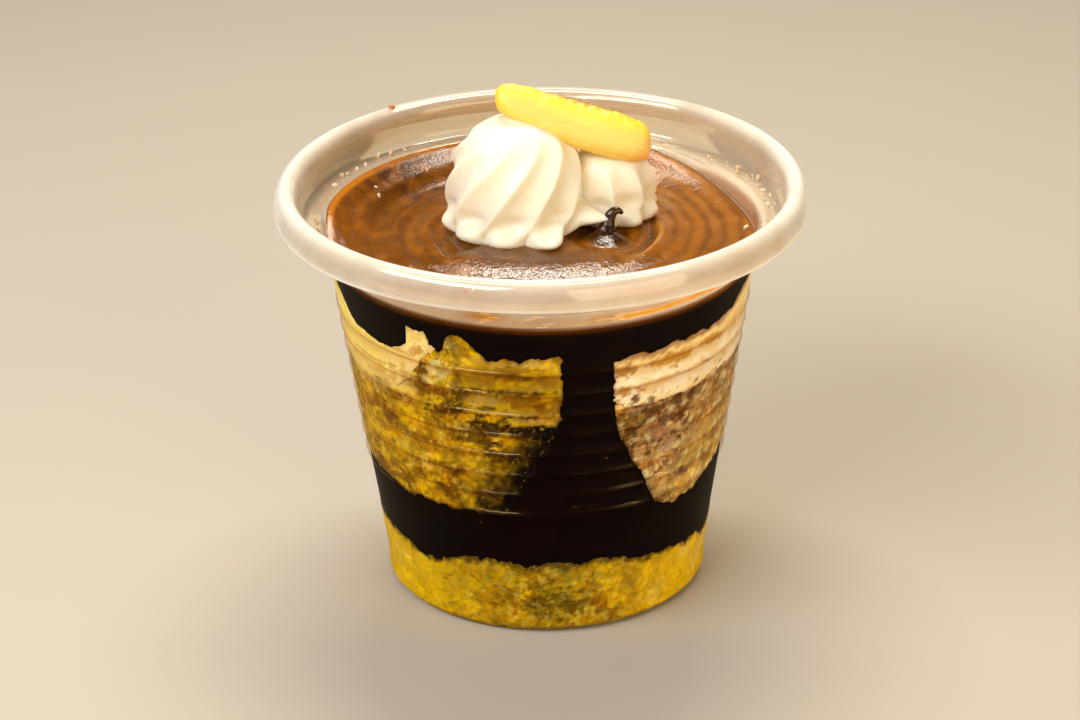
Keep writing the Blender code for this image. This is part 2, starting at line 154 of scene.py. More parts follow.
SECOND_STAINS = (
    (-67, 40.5, 6.0, 1.6, (180, 118, 6), 0.7), (-56, 42.0, 5.0, 1.6, (150, 88, 2), 0.8),
    (-52, 39.6, 3.6, 1.8, (124, 70, 2), 0.85), (-63, 28.0, 7.0, 1.6, (150, 92, 2), 0.8),
    (-50, 27.6, 6.0, 1.4, (132, 84, 2), 0.8), (-47, 45.2, 4.0, 1.2, (150, 98, 4), 0.7),
    (-60, 36.0, 9.0, 2.6, (238, 186, 44), 0.5), (-66, 32.0, 5.0, 2.0, (214, 156, 20), 0.5),
    (-44, 36.5, 5.0, 2.4, (236, 182, 40), 0.5), (-38.5, 33.0, 3.4, 1.6, (252, 206, 86), 0.8),
    (-33, 32.4, 4.0, 1.2, (226, 172, 44), 0.6), (-43, 30.4, 4.0, 1.0, (140, 84, 4), 0.7),
    (-36, 49.0, 3.6, 1.6, (160, 100, 14), 0.85), (-36, 52.6, 2.6, 2.4, (146, 96, 16), 0.9),
    (-30.5, 49.2, 2.4, 1.2, (150, 70, 8), 0.85), (-27, 46.8, 5.0, 2.0, (92, 62, 4), 0.85),
    (-32, 45.2, 3.4, 1.0, (74, 48, 2), 0.85), (-24.5, 49.0, 2.2, 1.6, (104, 74, 8), 0.8),
    (-30, 28.6, 4.6, 1.8, (126, 74, 2), 0.85), (-30, 31.6, 2.0, 1.6, (150, 84, 4), 0.7),
    (-19, 27.6, 2.6, 2.2, (80, 60, 4), 0.85), (-16, 43.9, 7.5, 1.6, (58, 36, 2), 0.95),
    (-3, 43.6, 6.0, 1.8, (52, 34, 3), 0.95), (-21, 41.2, 5.0, 1.8, (96, 60, 2), 0.8),
    (-16, 40.2, 4.0, 1.6, (66, 40, 2), 0.85), (-24, 43.2, 1.6, 0.9, (206, 164, 66), 0.8),
    (-23.6, 41.3, 0.9, 0.6, (226, 190, 90), 0.8), (-23, 36.4, 6.0, 1.6, (214, 166, 40), 0.7),
    (-15, 37.8, 2.4, 1.6, (90, 54, 2), 0.8), (-18, 32.2, 3.0, 1.8, (196, 158, 40), 0.75),
    (-8.5, 39.2, 1.6, 1.0, (190, 146, 56), 0.7), (-26.5, 33.6, 2.0, 1.2, (120, 70, 2), 0.7),
    (-38, 38.6, 4.0, 1.0, (150, 92, 6), 0.6), (25, 43.4, 4.6, 2.0, (112, 80, 14), 0.9),
    (24.5, 40.2, 4.0, 1.6, (96, 62, 18), 0.8), (28, 43.6, 1.2, 0.9, (206, 166, 70), 0.8),
    (34, 44.0, 4.0, 1.6, (136, 84, 44), 0.85), (40.6, 41.4, 3.0, 0.9, (108, 54, 16), 0.85),
    (44, 42.6, 3.0, 0.9, (128, 74, 30), 0.8), (34.5, 39.6, 5.0, 1.8, (166, 116, 84), 0.8),
    (35, 36.8, 1.6, 0.8, (122, 70, 20), 0.8), (40, 36.0, 3.0, 1.3, (226, 188, 152), 0.9),
    (52, 38.6, 4.6, 0.9, (150, 92, 22), 0.85), (46.6, 43.8, 2.0, 0.9, (150, 92, 18), 0.8),
    (60, 42.6, 6.0, 1.0, (176, 122, 40), 0.6), (66, 37.6, 6.0, 1.0, (176, 116, 20), 0.7),
    (62, 32.6, 5.0, 1.2, (180, 128, 20), 0.6), (61, 28.4, 4.0, 1.4, (186, 134, 8), 0.8),
    (31.5, 33.6, 2.4, 1.4, (196, 142, 66), 0.7), (46.5, 28.6, 3.2, 0.9, (166, 112, 80), 0.85),
    (38, 28.2, 3.4, 1.6, (222, 180, 96), 0.7), (55, 35.4, 5.0, 1.8, (216, 172, 96), 0.6),
    (50, 31.4, 6.0, 1.4, (208, 168, 74), 0.6), (44, 24.6, 6.0, 1.4, (170, 130, 50), 0.6),
)
LUMP_STAINS_RIB_SHADE_AND_HIGHLIGHT = (
    (-14, 56.9, 7.0, 1.0, (206, 158, 60), 0.9), (-3, 57.2, 6.0, 1.0, (222, 178, 82), 0.95),
    (-7, 55.5, 9.0, 0.6, (176, 124, 28), 0.9), (-17, 53.2, 6.0, 1.5, (216, 160, 34), 0.95),
    (-4, 52.0, 8.0, 0.9, (214, 164, 46), 0.95), (-8, 53.9, 5.0, 0.8, (158, 104, 14), 0.85),
    # The wide thin dark line at 50.9 mm is painted shade under a rib.
    (0.5, 53.4, 3.5, 1.2, (196, 142, 36), 0.9), (-10, 50.9, 13.0, 0.45, (104, 68, 8), 0.9),
    (-7, 49.4, 5.5, 1.0, (184, 124, 20), 0.95), (-17.5, 48.9, 4.0, 1.5, (226, 186, 92), 0.95),
    (-16, 47.4, 5.0, 0.5, (96, 58, 6), 0.8), (-1, 48.2, 1.8, 1.3, (160, 88, 6), 0.9),
    # The wide thin pale line at 46.7 mm is a painted rib highlight.
    (3.5, 48.0, 2.6, 2.2, (176, 126, 34), 0.9), (-11, 46.7, 9.0, 0.35, (214, 176, 96), 0.9),
    (0, 45.4, 6.0, 0.7, (196, 152, 70), 0.85), (-6.6, 45.6, 1.6, 0.8, (200, 160, 84), 0.85),
    (-23.5, 55.4, 3.6, 2.4, (236, 182, 48), 0.95), (-25, 59.4, 2.6, 1.6, (206, 168, 78), 0.9),
    (-21.6, 58.6, 2.0, 1.2, (160, 110, 20), 0.8), (-30, 53.4, 3.4, 2.0, (255, 222, 140), 1.0),
    (-33.4, 51.2, 1.8, 1.0, (250, 208, 120), 0.95), (-26.4, 51.6, 2.0, 1.0, (196, 150, 70), 0.8),
    (-24, 53.4, 1.4, 0.8, (150, 104, 30), 0.8), (-21, 50.2, 2.0, 1.0, (140, 98, 16), 0.85),
)
CREAM_STAINS_AND_RIB_SHADE = (
    (38, 54.0, 7.5, 1.3, (206, 152, 0), 1.0), (52, 54.3, 6.5, 0.9, (208, 152, 2), 1.0),
    (22, 54.2, 3.2, 1.6, (176, 130, 10), 1.0), (22.5, 49.8, 4.4, 1.1, (188, 138, 24), 0.95),
    (20.5, 47.6, 2.0, 1.8, (180, 128, 40), 0.8), (26, 47.9, 1.4, 0.8, (92, 50, 8), 0.95),
    (31, 46.7, 1.2, 0.7, (130, 84, 20), 0.9), (48, 47.2, 1.0, 0.6, (120, 76, 24), 0.9),
    (44, 50.2, 1.6, 0.3, (196, 140, 50), 0.8), (52, 50.2, 1.4, 0.4, (180, 120, 34), 0.8),
    # The wide thin darker line at 50.6 mm is painted shade under a rib.
    (34, 50.6, 14.0, 0.25, (214, 166, 110), 0.7), (39, 52.0, 0.7, 0.25, (130, 90, 40), 0.8),
    (54, 46.6, 2.4, 0.7, (190, 140, 60), 0.8), (28, 56.6, 4.0, 0.5, (196, 138, 24), 0.9),
    (46, 56.8, 9.0, 0.4, (176, 116, 14), 0.8), (66, 55.6, 7.0, 1.2, (236, 184, 90), 0.6),
    # The line 16 degrees wide at 51 mm is painted shade under a rib.
    (-46, 51.6, 2.2, 0.3, (170, 118, 20), 0.8), (-56, 51.0, 16.0, 0.3, (206, 160, 60), 0.8),
    (-36, 59.4, 2.6, 1.4, (228, 190, 86), 0.7), (-35.4, 56.4, 2.6, 1.3, (192, 140, 40), 0.95),
    (-41, 50.6, 3.4, 1.0, (222, 174, 70), 0.7), (-52, 48.6, 5.0, 0.8, (228, 180, 70), 0.7),
    (-44, 55.4, 8.0, 0.4, (206, 156, 56), 0.7),
)

# The swirl in the chocolate, with the faces round it, and its small peak, in mm. The peak's path is
# x, y, z and radius.
SWIRL_CENTRE = (0.0, 3.0)
SWIRL_PITCH = 5.6
SWIRL_STEPS = 440
GROOVE_PITCH = 3.0
PEAK_PLACE = (11.3, -2.0)
PEAK_PATH = (
    (11.3, -1.95, 65.3, 2.5), (11.5, -1.65, 66.4, 1.75), (11.75, -1.35, 67.5, 1.3),
    (12.0, -1.15, 68.5, 1.08), (12.4, -1.05, 69.3, 0.98), (13.1, -1.0, 69.85, 0.8),
    (13.85, -1.0, 69.75, 0.55), (14.35, -1.0, 69.3, 0.3),
)

# Piped cream, in mm and degrees, with the points round one crest and the rows of points up its side.
LARGE_PLACE = (-4.3, 6.0)
LARGE_RADIUS = 13.1
LARGE_HEIGHT = 20.6
SMALL_PLACE = (12.0, 10.5)
SMALL_RADIUS = 8.8
SMALL_HEIGHT = 13.4
TAIL_AZIMUTH = 64.0
TAIL_LENGTH = 4.3
TAIL_HEIGHT = 68.4
UNDERSIDE_ROUNDING = 1.3
PIPED_LIFT = 0.35
STEPS_A_CREST = 44
PIPED_ROWS = 150

# The fruit slice's sections from its left end: x, y and z of the middle, half height, half depth, in mm.
FRUIT_SECTIONS = (
    (-8.0, 6.8, 88.5, 1.5, 1.8), (-6.6, 6.9, 88.5, 2.9, 3.3), (-3.4, 7.2, 87.6, 3.6, 4.4),
    (2.2, 7.5, 84.9, 4.1, 5.1), (8.0, 7.8, 82.6, 4.4, 5.4), (13.4, 8.1, 80.9, 4.45, 5.2),
    (17.6, 8.5, 79.5, 3.9, 4.4), (19.9, 8.8, 78.9, 2.7, 2.8),
)

# Once round a section of the slice, from its upper edge over its back: how far back and how far up,
# in half depths and half heights.
FRUIT_OUTLINE = (
    (-0.02, 1.0), (0.12, 0.86), (0.42, 0.52), (0.7, 0.15), (0.88, -0.22), (0.86, -0.58), (0.62, -0.86),
    (0.28, -0.98), (-0.1, -1.0), (-0.5, -0.93), (-0.82, -0.68), (-0.93, -0.3), (-0.86, 0.06),
    (-0.72, 0.4), (-0.48, 0.74), (-0.18, 0.97),
)

# Loose crumbs on the ledge: from which azimuth to which, and how many.
LEDGE_CRUMBS = ((92, 131, 26), (-168, -104, 12), (60, 92, 4), (-100, -60, 3))
CRUMB_SIZES = (0.22, 0.28, 0.35, 0.5)

# Loose crumbs on the rim: azimuth, inwards from its edge, up from its top, size in mm, and how orange.
RIM_CRUMBS = (
    (-142, 2.7, 0.2, 0.55, 0.9), (-10, 3.1, -0.1, 0.32, 0.0), (-3, 2.8, 0.0, 0.25, 0.1),
    (-16, 0.5, -1.7, 0.3, 0.9), (-14, 0.45, -1.4, 0.26, 0.0),
)

# Loose crumbs on the chocolate: azimuth, radius and size in mm.
CHOCOLATE_CRUMBS = (
    (-43, 21.5, 0.45), (-46, 22.3, 0.3), (-40, 20.6, 0.28), (-118, 33.5, 0.4), (-121, 35.2, 0.3),
    (94, 36.6, 0.5),
)

# The camera fitted to the photograph: frame width and focal length in pixels, places in mm, degrees.
PHOTO_WIDTH = 1080
FOCAL_PIXELS = 3324
CAMERA_DISTANCE = 605.0
CAMERA_ELEVATION = 25.68
CAMERA_TARGET = (0.0, 0.0, 35.0)
CAMERA_ROLL = -0.861
AIM_RIGHT = -0.066
AIM_UP = 0.459

# Soft lights: name, place, the place they face and size in mm, power in W, and colour.
LIGHTS = (
    ("key", (-340, -320, 470), (0, 0, 50), (520, 180), 3.5, (1.0, 1.0, 1.0)),
    ("top", (20, 240, 600), (0, 0, 60), (400, 70), 3.7, (1.0, 0.94, 0.8)),
    ("front_fill", (340, -480, 200), (0, 0, 40), (520, 420), 2.6, (1.0, 0.85, 0.62)),
)
ROOM_COLOUR = (1.0, 0.82, 0.58, 1.0)
ROOM_STRENGTH = 0.14
FLOOR_COLOUR = (0.50, 0.45, 0.38)
FLOOR_SIZE = 4000.0


def shade(red, green, blue):
    """A colour written in screen values from 0 to 255, as linear light."""
    return tuple((value / 255) ** 2.2 for value in (red, green, blue))


# What every colour and every length in the settings shares.
COLOUR = {"min": 0, "max": 1, "subtype": "COLOR"}
LENGTH = {"precision": 5, "unit": "LENGTH"}


class CupLooks(bpy.types.PropertyGroup):
    """Sizes and colours of the cup"""

    rib_depth: FloatProperty(
        name="Rib depth", description="How far each rib stands out of the wall",
        default=0.32 * MM, min=0, max=1 * MM, **LENGTH,
    )
    segments: IntProperty(
        name="Segments", description="Faces round the cup", default=256, min=32, max=512,
    )
    plastic: FloatVectorProperty(
        name="Plastic", description="Colour of the milky plastic", default=shade(255, 248, 236), **COLOUR,
    )
    depth: FloatVectorProperty(
        name="Depth", description="Colour of what is seen through one wall of the milky plastic",
        default=shade(244, 230, 204), **COLOUR,
    )
    smear: FloatVectorProperty(
        name="Smear", description="Colour of the chocolate smeared thin on the wall",
        default=shade(232, 160, 40), **COLOUR,
    )
    rim_haze: FloatProperty(
        name="Rim haze", description="How milky the rim is, from clear to opaque",
        default=0.5, min=0, max=1, subtype="FACTOR",
    )
    wall_haze: FloatProperty(
        name="Wall haze", description="How milky the dry wall above the filling is",
        default=0.07, min=0, max=1, subtype="FACTOR",
    )


class FillingLooks(bpy.types.PropertyGroup):
    """Sizes and colours of the sponge, the cream layer and the chocolate"""

    segments: IntProperty(
        name="Segments", description="Faces round each sponge and the cream layer",
        default=520, min=48, max=1000,
    )
    raggedness: FloatProperty(
        name="Raggedness", description="How far the crumb strays from the seam",
        default=1.0 * MM, min=0, max=3 * MM, **LENGTH,
    )
    swirl_height: FloatProperty(
        name="Swirl height", description="Height of the ridges in the chocolate",
        default=0.36 * MM, min=0, max=1 * MM, **LENGTH,
    )
    chocolate: FloatVectorProperty(
        name="Chocolate", description="Colour of the chocolate in thickness",
        default=shade(14, 4, 1), **COLOUR,
    )
    chocolate_top: FloatVectorProperty(
        name="Chocolate top", description="Colour of the chocolate on top, where light gets in",
        default=shade(138, 79, 2), **COLOUR,
    )
    chocolate_thin: FloatVectorProperty(
        name="Thin chocolate", description="Colour of chocolate smeared thin on the wall",
        default=shade(150, 84, 2), **COLOUR,
    )
    sponge: FloatVectorProperty(
        name="Sponge", description="Colour of the lit sponge crumb", default=shade(255, 200, 6), **COLOUR,
    )
    sponge_dark: FloatVectorProperty(
        name="Moist sponge", description="Colour of the moist sponge crumb",
        default=shade(196, 134, 1), **COLOUR,
    )
    mauve: FloatVectorProperty(
        name="Stained sponge", description="Colour of the sponge that chocolate has stained",
        default=shade(204, 158, 104), **COLOUR,
    )
    cream: FloatVectorProperty(
        name="Cream layer", description="Colour of the pale cream",
        default=shade(246, 220, 160), **COLOUR,
    )


class ToppingLooks(bpy.types.PropertyGroup):
    """Sizes and colours of the whipped cream and the fruit"""

    crests: IntProperty(
        name="Crests", description="Points of the piping nozzle", default=10, min=5, max=16,
    )
    crest_depth: FloatProperty(
        name="Crest depth", description="How far the cream falls in between two crests",
        default=1.3 * MM, min=0, max=4 * MM, **LENGTH,
    )
    whipped: FloatVectorProperty(
        name="Whipped cream", description="Colour of the whipped cream",
        default=shade(254, 241, 218), **COLOUR,
    )
    fruit: FloatVectorProperty(
        name="Fruit", description="Colour of the fruit's middle", default=shade(255, 210, 104), **COLOUR,
    )
    fruit_ripe: FloatVectorProperty(
        name="Ripe fruit", description="Colour of the fruit's riper end",
        default=shade(255, 168, 82), **COLOUR,
    )


# Modelling helpers.


def deselect():
    bpy.ops.object.select_all(action="DESELECT")


def enter_edit(obj):
    deselect()
    obj.select_set(True)
    bpy.context.view_layer.objects.active = obj
    bpy.ops.object.mode_set(mode="EDIT")
    bpy.ops.mesh.select_all(action="SELECT")


def leave_edit():
    bpy.ops.object.mode_set(mode="OBJECT")


def close_mesh(obj):
    """Merges doubled vertices and turns the faces outwards."""
    enter_edit(obj)
    bpy.ops.mesh.remove_doubles(threshold=0.01 * MM)
    bpy.ops.mesh.normals_make_consistent(inside=False)
    leave_edit()


def round_off(obj, levels):
    """Rounds the active piece by subdividing it."""
    rounding = obj.modifiers.new("round", "SUBSURF")
    rounding.levels = rounding.render_levels = levels
    bpy.ops.object.modifier_apply(modifier="round")


def ball(name, rings, steps):
    """A grid wrapped into a closed ball. Each vertex has a ring, counted from the top, and an azimuth."""
    deselect()
    bpy.ops.mesh.primitive_grid_add(x_subdivisions=steps, y_subdivisions=rings, size=1)
    obj = bpy.context.object
    obj.name = obj.data.name = name
    flat = points_of(obj) * MM + 0.5
    turn, fall = math.tau * flat[:, 0], math.pi * (1 - flat[:, 1])
    wrapped = np.column_stack((np.sin(fall) * np.cos(turn), np.sin(fall) * np.sin(turn), np.cos(fall)))
    place_points(obj, wrapped / MM)
    close_mesh(obj)
    _, az, z = to_polar(points_of(obj) * MM)
    ring = np.rint(np.arccos(np.clip(z, -1, 1)) / math.pi * rings).astype(int)
    return obj, ring, az


def turned(name, profile, steps):
    """Draws a ball's rings onto a profile of (radius, height) in mm, from pole to pole."""
    obj, ring, az = ball(name, len(profile) - 1, steps)
    radius, height = np.array(profile)[ring].T
    place_points(obj, from_polar(radius, az, height))
    return obj


def points_of(obj):
    """The piece's vertices as rows of x, y and z in mm."""
    flat = np.empty(len(obj.data.vertices) * 3)
    obj.data.vertices.foreach_get("co", flat)
    return flat.reshape(-1, 3) / MM


def place_points(obj, points):
    obj.data.vertices.foreach_set("co", (np.asarray(points) * MM).ravel())
    obj.data.update()


def to_polar(points):
    """Radius in mm, azimuth in degrees and height in mm of points."""
    x, y, z = points.T
    return np.hypot(x, y), np.degrees(np.arctan2(x, -y)), z


def from_polar(radius, az, z):
    """Rows of x, y and z of points given by radius, azimuth and height."""
    turn = np.radians(az)
    return np.column_stack((radius * np.sin(turn), -radius * np.cos(turn), z))


def rough(points, size, octaves=3, shift=0.0):
    """Fractal noise of about -1 to 1 at points in mm, with features of about that size."""
    moved = points / size + shift
    return np.array([noise.fractal(Vector(point), 0.7, 2.1, octaves) for point in moved])


def along(position, outline):
    """The height read off an outline of two columns."""
    keys, values = zip(*outline)
    return np.interp(position, keys, values)


def smooth(value, low=0.0, high=1.0):
    """0 below low, 1 above high, and an easy slope between them."""
    t = np.clip((np.asarray(value, dtype=float) - low) / (high - low), 0, 1)
    return t * t * (3 - 2 * t)


def bump(value, middle, width):
    """1 at the middle, and falling away to 0 on both sides."""
    return np.exp(-(((value - middle) / width) ** 2))


def paint(obj, name, colours):
    """Stores one colour for each vertex."""
    layer = obj.data.color_attributes.new(name, "FLOAT_COLOR", "POINT")
    rows = np.column_stack((np.clip(colours, 0, 1), np.ones(len(colours))))
    layer.data.foreach_set("color", rows.ravel())


def weigh(obj, name, values):
    """Stores one number for each vertex."""
    layer = obj.data.attributes.new(name, "FLOAT", "POINT")
    layer.data.foreach_set("value", np.asarray(values, dtype=float))


def blend_colours(first, second, share):
    """Rows of colours that go from the first to the second as the share goes from 0 to 1."""
    share = np.asarray(share)[:, None]
    return np.asarray(first) * (1 - share) + np.asarray(second) * share


def wash(tint, colour, share):
    """Blends a colour in screen values over a tint."""
    return blend_colours(tint, shade(*colour), share)


def settle(obj, slot, *materials, replaces=()):
    """Shades the finished piece, gives it its materials and lets it ride on the part."""
    for material in materials:
        obj.data.materials.append(material)
    obj.data.shade_smooth()
    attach(obj, BODY)
    if replaces:
        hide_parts(*replaces)


def join(obj, *others):
    """Joins pieces into the first one."""
    deselect()
    for other in (obj, *others):
        other.select_set(True)
    bpy.context.view_layer.objects.active = obj
    bpy.ops.object.join()


# Material helpers.


def new_material(name):
    """A material with its node tree, its shader and the place on the piece that patterns read."""
    material = bpy.data.materials.new(name)
    material.use_nodes = True
    tree = material.node_tree
    place = add(tree, "ShaderNodeTexCoord").outputs["Object"]
    return material, tree, tree.nodes["Principled BSDF"], place


def set_inputs(tree, node, values):
    """Sets values on a node's inputs or, if they are sockets, links them."""
    for name, value in values.items():
        if isinstance(value, bpy.types.NodeSocket):
            tree.links.new(value, node.inputs[name])
        else:
            node.inputs[name].default_value = value


def add(tree, kind, values=None, **settings):
    """Adds a node with its settings and the values of its inputs."""
    node = tree.nodes.new(kind)
    for name, value in settings.items():
        setattr(node, name, value)
    set_inputs(tree, node, values or {})
    return node


def maths(tree, operation, *values):
    return add(tree, "ShaderNodeMath", dict(enumerate(values)), operation=operation).outputs[0]


def noise_in(tree, vector, size, detail=3.0, roughness=0.55):
    """Noise with features of a size in mm."""
    values = {"Vector": vector, "Scale": 1 / (size * MM), "Detail": detail, "Roughness": roughness}
    return add(tree, "ShaderNodeTexNoise", values).outputs["Fac"]


def cells_in(tree, vector, size):
    """Distance from the middle of the nearest cell, with cells of a size in mm."""
    values = {"Vector": vector, "Scale": 1 / (size * MM)}
    return add(tree, "ShaderNodeTexVoronoi", values).outputs["Distance"]


def stretch(tree, value, low, high, to_low=0.0, to_high=1.0):
    values = {"Value": value, "From Min": low, "From Max": high, "To Min": to_low, "To Max": to_high}
    return add(tree, "ShaderNodeMapRange", values).outputs["Result"]


def mix_colours(tree, share, first, second, how="MIX"):
    """Mixes two colours, each a socket or plain linear light."""
    sides = [side if isinstance(side, bpy.types.NodeSocket) else (*side, 1.0) for side in (first, second)]
    values = {"Factor": share, 6: sides[0], 7: sides[1]}
    return add(tree, "ShaderNodeMix", values, data_type="RGBA", blend_type=how).outputs[2]


def attribute(tree, name, output="Color"):
    return add(tree, "ShaderNodeAttribute", attribute_name=name).outputs[output]


def raise_bumps(tree, shader, height, distance):
    """Bump relief of a distance in mm."""
    values = {"Height": height, "Distance": distance * MM}
    set_inputs(tree, shader, {"Normal": add(tree, "ShaderNodeBump", values).outputs["Normal"]})


# The cup.


def wall_radius(z):
    """Outer radius of the wall between its ribs."""
    return np.where(z < SHOULDER_HEIGHT, FOOT_RADIUS, SHOULDER_RADIUS + (z - SHOULDER_HEIGHT) * WALL_SLOPE)


def filling_radius(z):
    """Radius of the filling, which reaches just into the wall."""
    return wall_radius(z) - WALL + SINK


def arc_points(middle, half_width, height, low, count):
    """Half an ellipse over the top, from its inner to its outer side."""
    angles = [math.pi * step / count for step in range(count + 1)]
    return [(middle - half_width * math.cos(a), low + height * math.sin(a)) for a in angles]


def rib_profile(depth):
    """The ribs down the outer face, from the top one: a narrow ridge, steeper above than below."""
    points = []
    for index in reversed(range(RIB_COUNT)):
        for offset, share in RIB_SHAPE:
            z = RIB_LOWEST + index * RIB_PITCH + offset
            points.append((float(wall_radius(z)) + depth * share, z))
    return points


def steps_from(radius, height, *steps):
    """Points of a profile, each a step out and up from one place."""
    return [(radius + out, height + up) for out, up in steps]


def wall_points(heights, inset=0.0):
    """Points of a profile on the wall, inset from its outer face."""
    return [(float(wall_radius(z)) - inset, z) for z in heights]


def cup_profile(rib_depth):
    """Once round the wall: out over the floor, up inside, over the rim and down outside."""
    floor = PUSH_UP + WALL
    inner_foot = FOOT_RADIUS - WALL
    roll_middle = RIM_RADIUS - ROLL_HALF_WIDTH
    roll_low = RIM_TOP - ROLL_HEIGHT
    shoulder = float(wall_radius(SHOULDER_HEIGHT))
    inside = [(0.0, floor), (inner_foot - FOOT_ROUNDING, floor)]
    inside += [
        (inner_foot - FOOT_ROUNDING * (1 - math.sin(a)), floor + FOOT_ROUNDING * (1 - math.cos(a)))
        for a in (0.5, 1.0, 1.4)
    ]
    inside += [(inner_foot, floor + FOOT_ROUNDING + 0.3), (shoulder - WALL, SHOULDER_HEIGHT + WALL)]
    inside += wall_points((12, 18, 24, 30, 36, 42, 48, 54, 60, *EDGE_ROWS), WALL)
    inside += steps_from(LEDGE_INNER, LEDGE_HEIGHT, (-0.45, -0.9), (-0.25, -0.35), (0.15, -0.06), (0.6, 0))
    inside += steps_from(LEDGE_OUTER, LEDGE_HEIGHT, (-0.35, 0), (0, -0.12), (0.3, -0.1), (0.6, 0.15))
    inside += steps_from(GROOVE, LEDGE_HEIGHT, (-0.35, 0.6), (-0.12, 1.4))
    over = arc_points(roll_middle, ROLL_HALF_WIDTH, ROLL_HEIGHT, roll_low, 20)
    skirt = steps_from(RIM_RADIUS, SKIRT_BOTTOM, (-0.06, 0.45), (-0.12, 0.12), (-0.35, 0))
    skirt += steps_from(RIM_RADIUS, SKIRT_BOTTOM, (-0.6, 0.08), (-0.72, 0.4))
    under = arc_points(roll_middle, ROLL_HALF_WIDTH - WALL, ROLL_HEIGHT - WALL, roll_low, 14)[::-1]
    neck = steps_from(GROOVE, LEDGE_HEIGHT, (0.5, 1.2), (0.3, 0.3), (-0.2, -0.35))
    neck += steps_from(LEDGE_OUTER, LEDGE_HEIGHT, (0, -0.65))
    neck += steps_from(LEDGE_INNER, LEDGE_HEIGHT, (1.2, -0.6), (0.75, -0.75), (0.4, -1.2))
    neck += wall_points((*reversed(EDGE_ROWS), 60, 57.5))
    foot = wall_points((21, 16, 11, 8))
    foot += steps_from(shoulder, SHOULDER_HEIGHT, (0.1, 0.6), (0, 0))
    foot += [(FOOT_RADIUS + 0.02, SHOULDER_HEIGHT - 0.5), (FOOT_RADIUS, 4.0), (FOOT_RADIUS, FOOT_ROUNDING)]
    foot += [
        (FOOT_RADIUS - FOOT_ROUNDING * (1 - math.cos(a)), FOOT_ROUNDING * (1 - math.sin(a)))
        for a in (0.35, 0.7, 1.05, 1.35, math.pi / 2)
    ]
    ring = FOOT_RADIUS - FOOT_ROUNDING - FOOT_RING_WIDTH
    foot += steps_from(ring, 0, (0, 0), (-0.25, 0.2), (-0.5, 0.95), (-0.8, PUSH_UP))
    foot += [(12.0, PUSH_UP), (0.0, PUSH_UP)]
    return inside + over + skirt + under + neck + rib_profile(rib_depth) + foot


def plastic_material(looks):
    """Clear plastic that turns milky in the rim, with thin chocolate smeared on its dry wall and painted
    shade under each rib.
    """
    material, tree, shader, place = new_material("clear_milky_plastic")
    haze = attribute(tree, "haze", "Fac")
    smear = attribute(tree, "smear", "Fac")
    drawn_out = add(tree, "ShaderNodeMapping", {"Vector": place, "Scale": (0.3, 0.3, 1.3)}).outputs[0]
    streaks = noise_in(tree, drawn_out, 2.6, 3.0, 0.5)
    smeared = stretch(tree, maths(tree, "MULTIPLY_ADD", smear, 0.35, streaks), 0.8, 0.88)
    clouds = stretch(tree, noise_in(tree, place, 9.0, 3.0), 0.3, 0.7, 0.85, 1.15)
    facing = add(tree, "ShaderNodeLayerWeight", {"Blend": 0.5}).outputs["Facing"]
    thickness = maths(tree, "MULTIPLY_ADD", maths(tree, "POWER", facing, 2.0), 1.5, 0.72)
    milk = maths(tree, "MULTIPLY", maths(tree, "MULTIPLY", haze, clouds), thickness)
    covered = maths(tree, "MULTIPLY_ADD", smeared, 0.75, milk)
    fresnel = add(tree, "ShaderNodeFresnel", {"IOR": 1.45}).outputs["Fac"]
    sheen = maths(tree, "MULTIPLY", fresnel, attribute(tree, "gloss", "Fac"))
    both = maths(tree, "ADD", sheen, covered)
    mirror = maths(tree, "DIVIDE", sheen, both)
    white = mix_colours(tree, stretch(tree, haze, 0.0, 0.05), shade(255, 216, 156), looks.plastic)
    stained_by = maths(tree, "MAXIMUM", smeared, maths(tree, "MULTIPLY", smear, 0.8))
    colour = mix_colours(tree, stained_by, white, looks.smear)
    set_inputs(tree, shader, {"Base Color": colour, "Metallic": mirror, "Roughness": 0.1, "IOR": 1.49})
    # Painted shade: what is seen through the wall is darkened under each rib's lower flank.
    painted_rib_shade = stretch(tree, attribute(tree, "shade", "Fac"), 0.0, 1.0, 0.0, 0.6)
    ribs = mix_colours(tree, painted_rib_shade, (1.0, 1.0, 1.0), shade(196, 150, 96))
    seen = mix_colours(tree, stretch(tree, haze, 0.0, 0.2), ribs, looks.depth)
    clear = add(tree, "ShaderNodeBsdfTransparent", {"Color": seen})
    mixed = add(tree, "ShaderNodeMixShader", {0: both})
    tree.links.new(clear.outputs[0], mixed.inputs[1])
    tree.links.new(shader.outputs[0], mixed.inputs[2])
    tree.links.new(mixed.outputs[0], tree.nodes["Material Output"].inputs["Surface"])
    raise_bumps(tree, shader, noise_in(tree, place, 3.5, 2.0), 0.05)
    return material


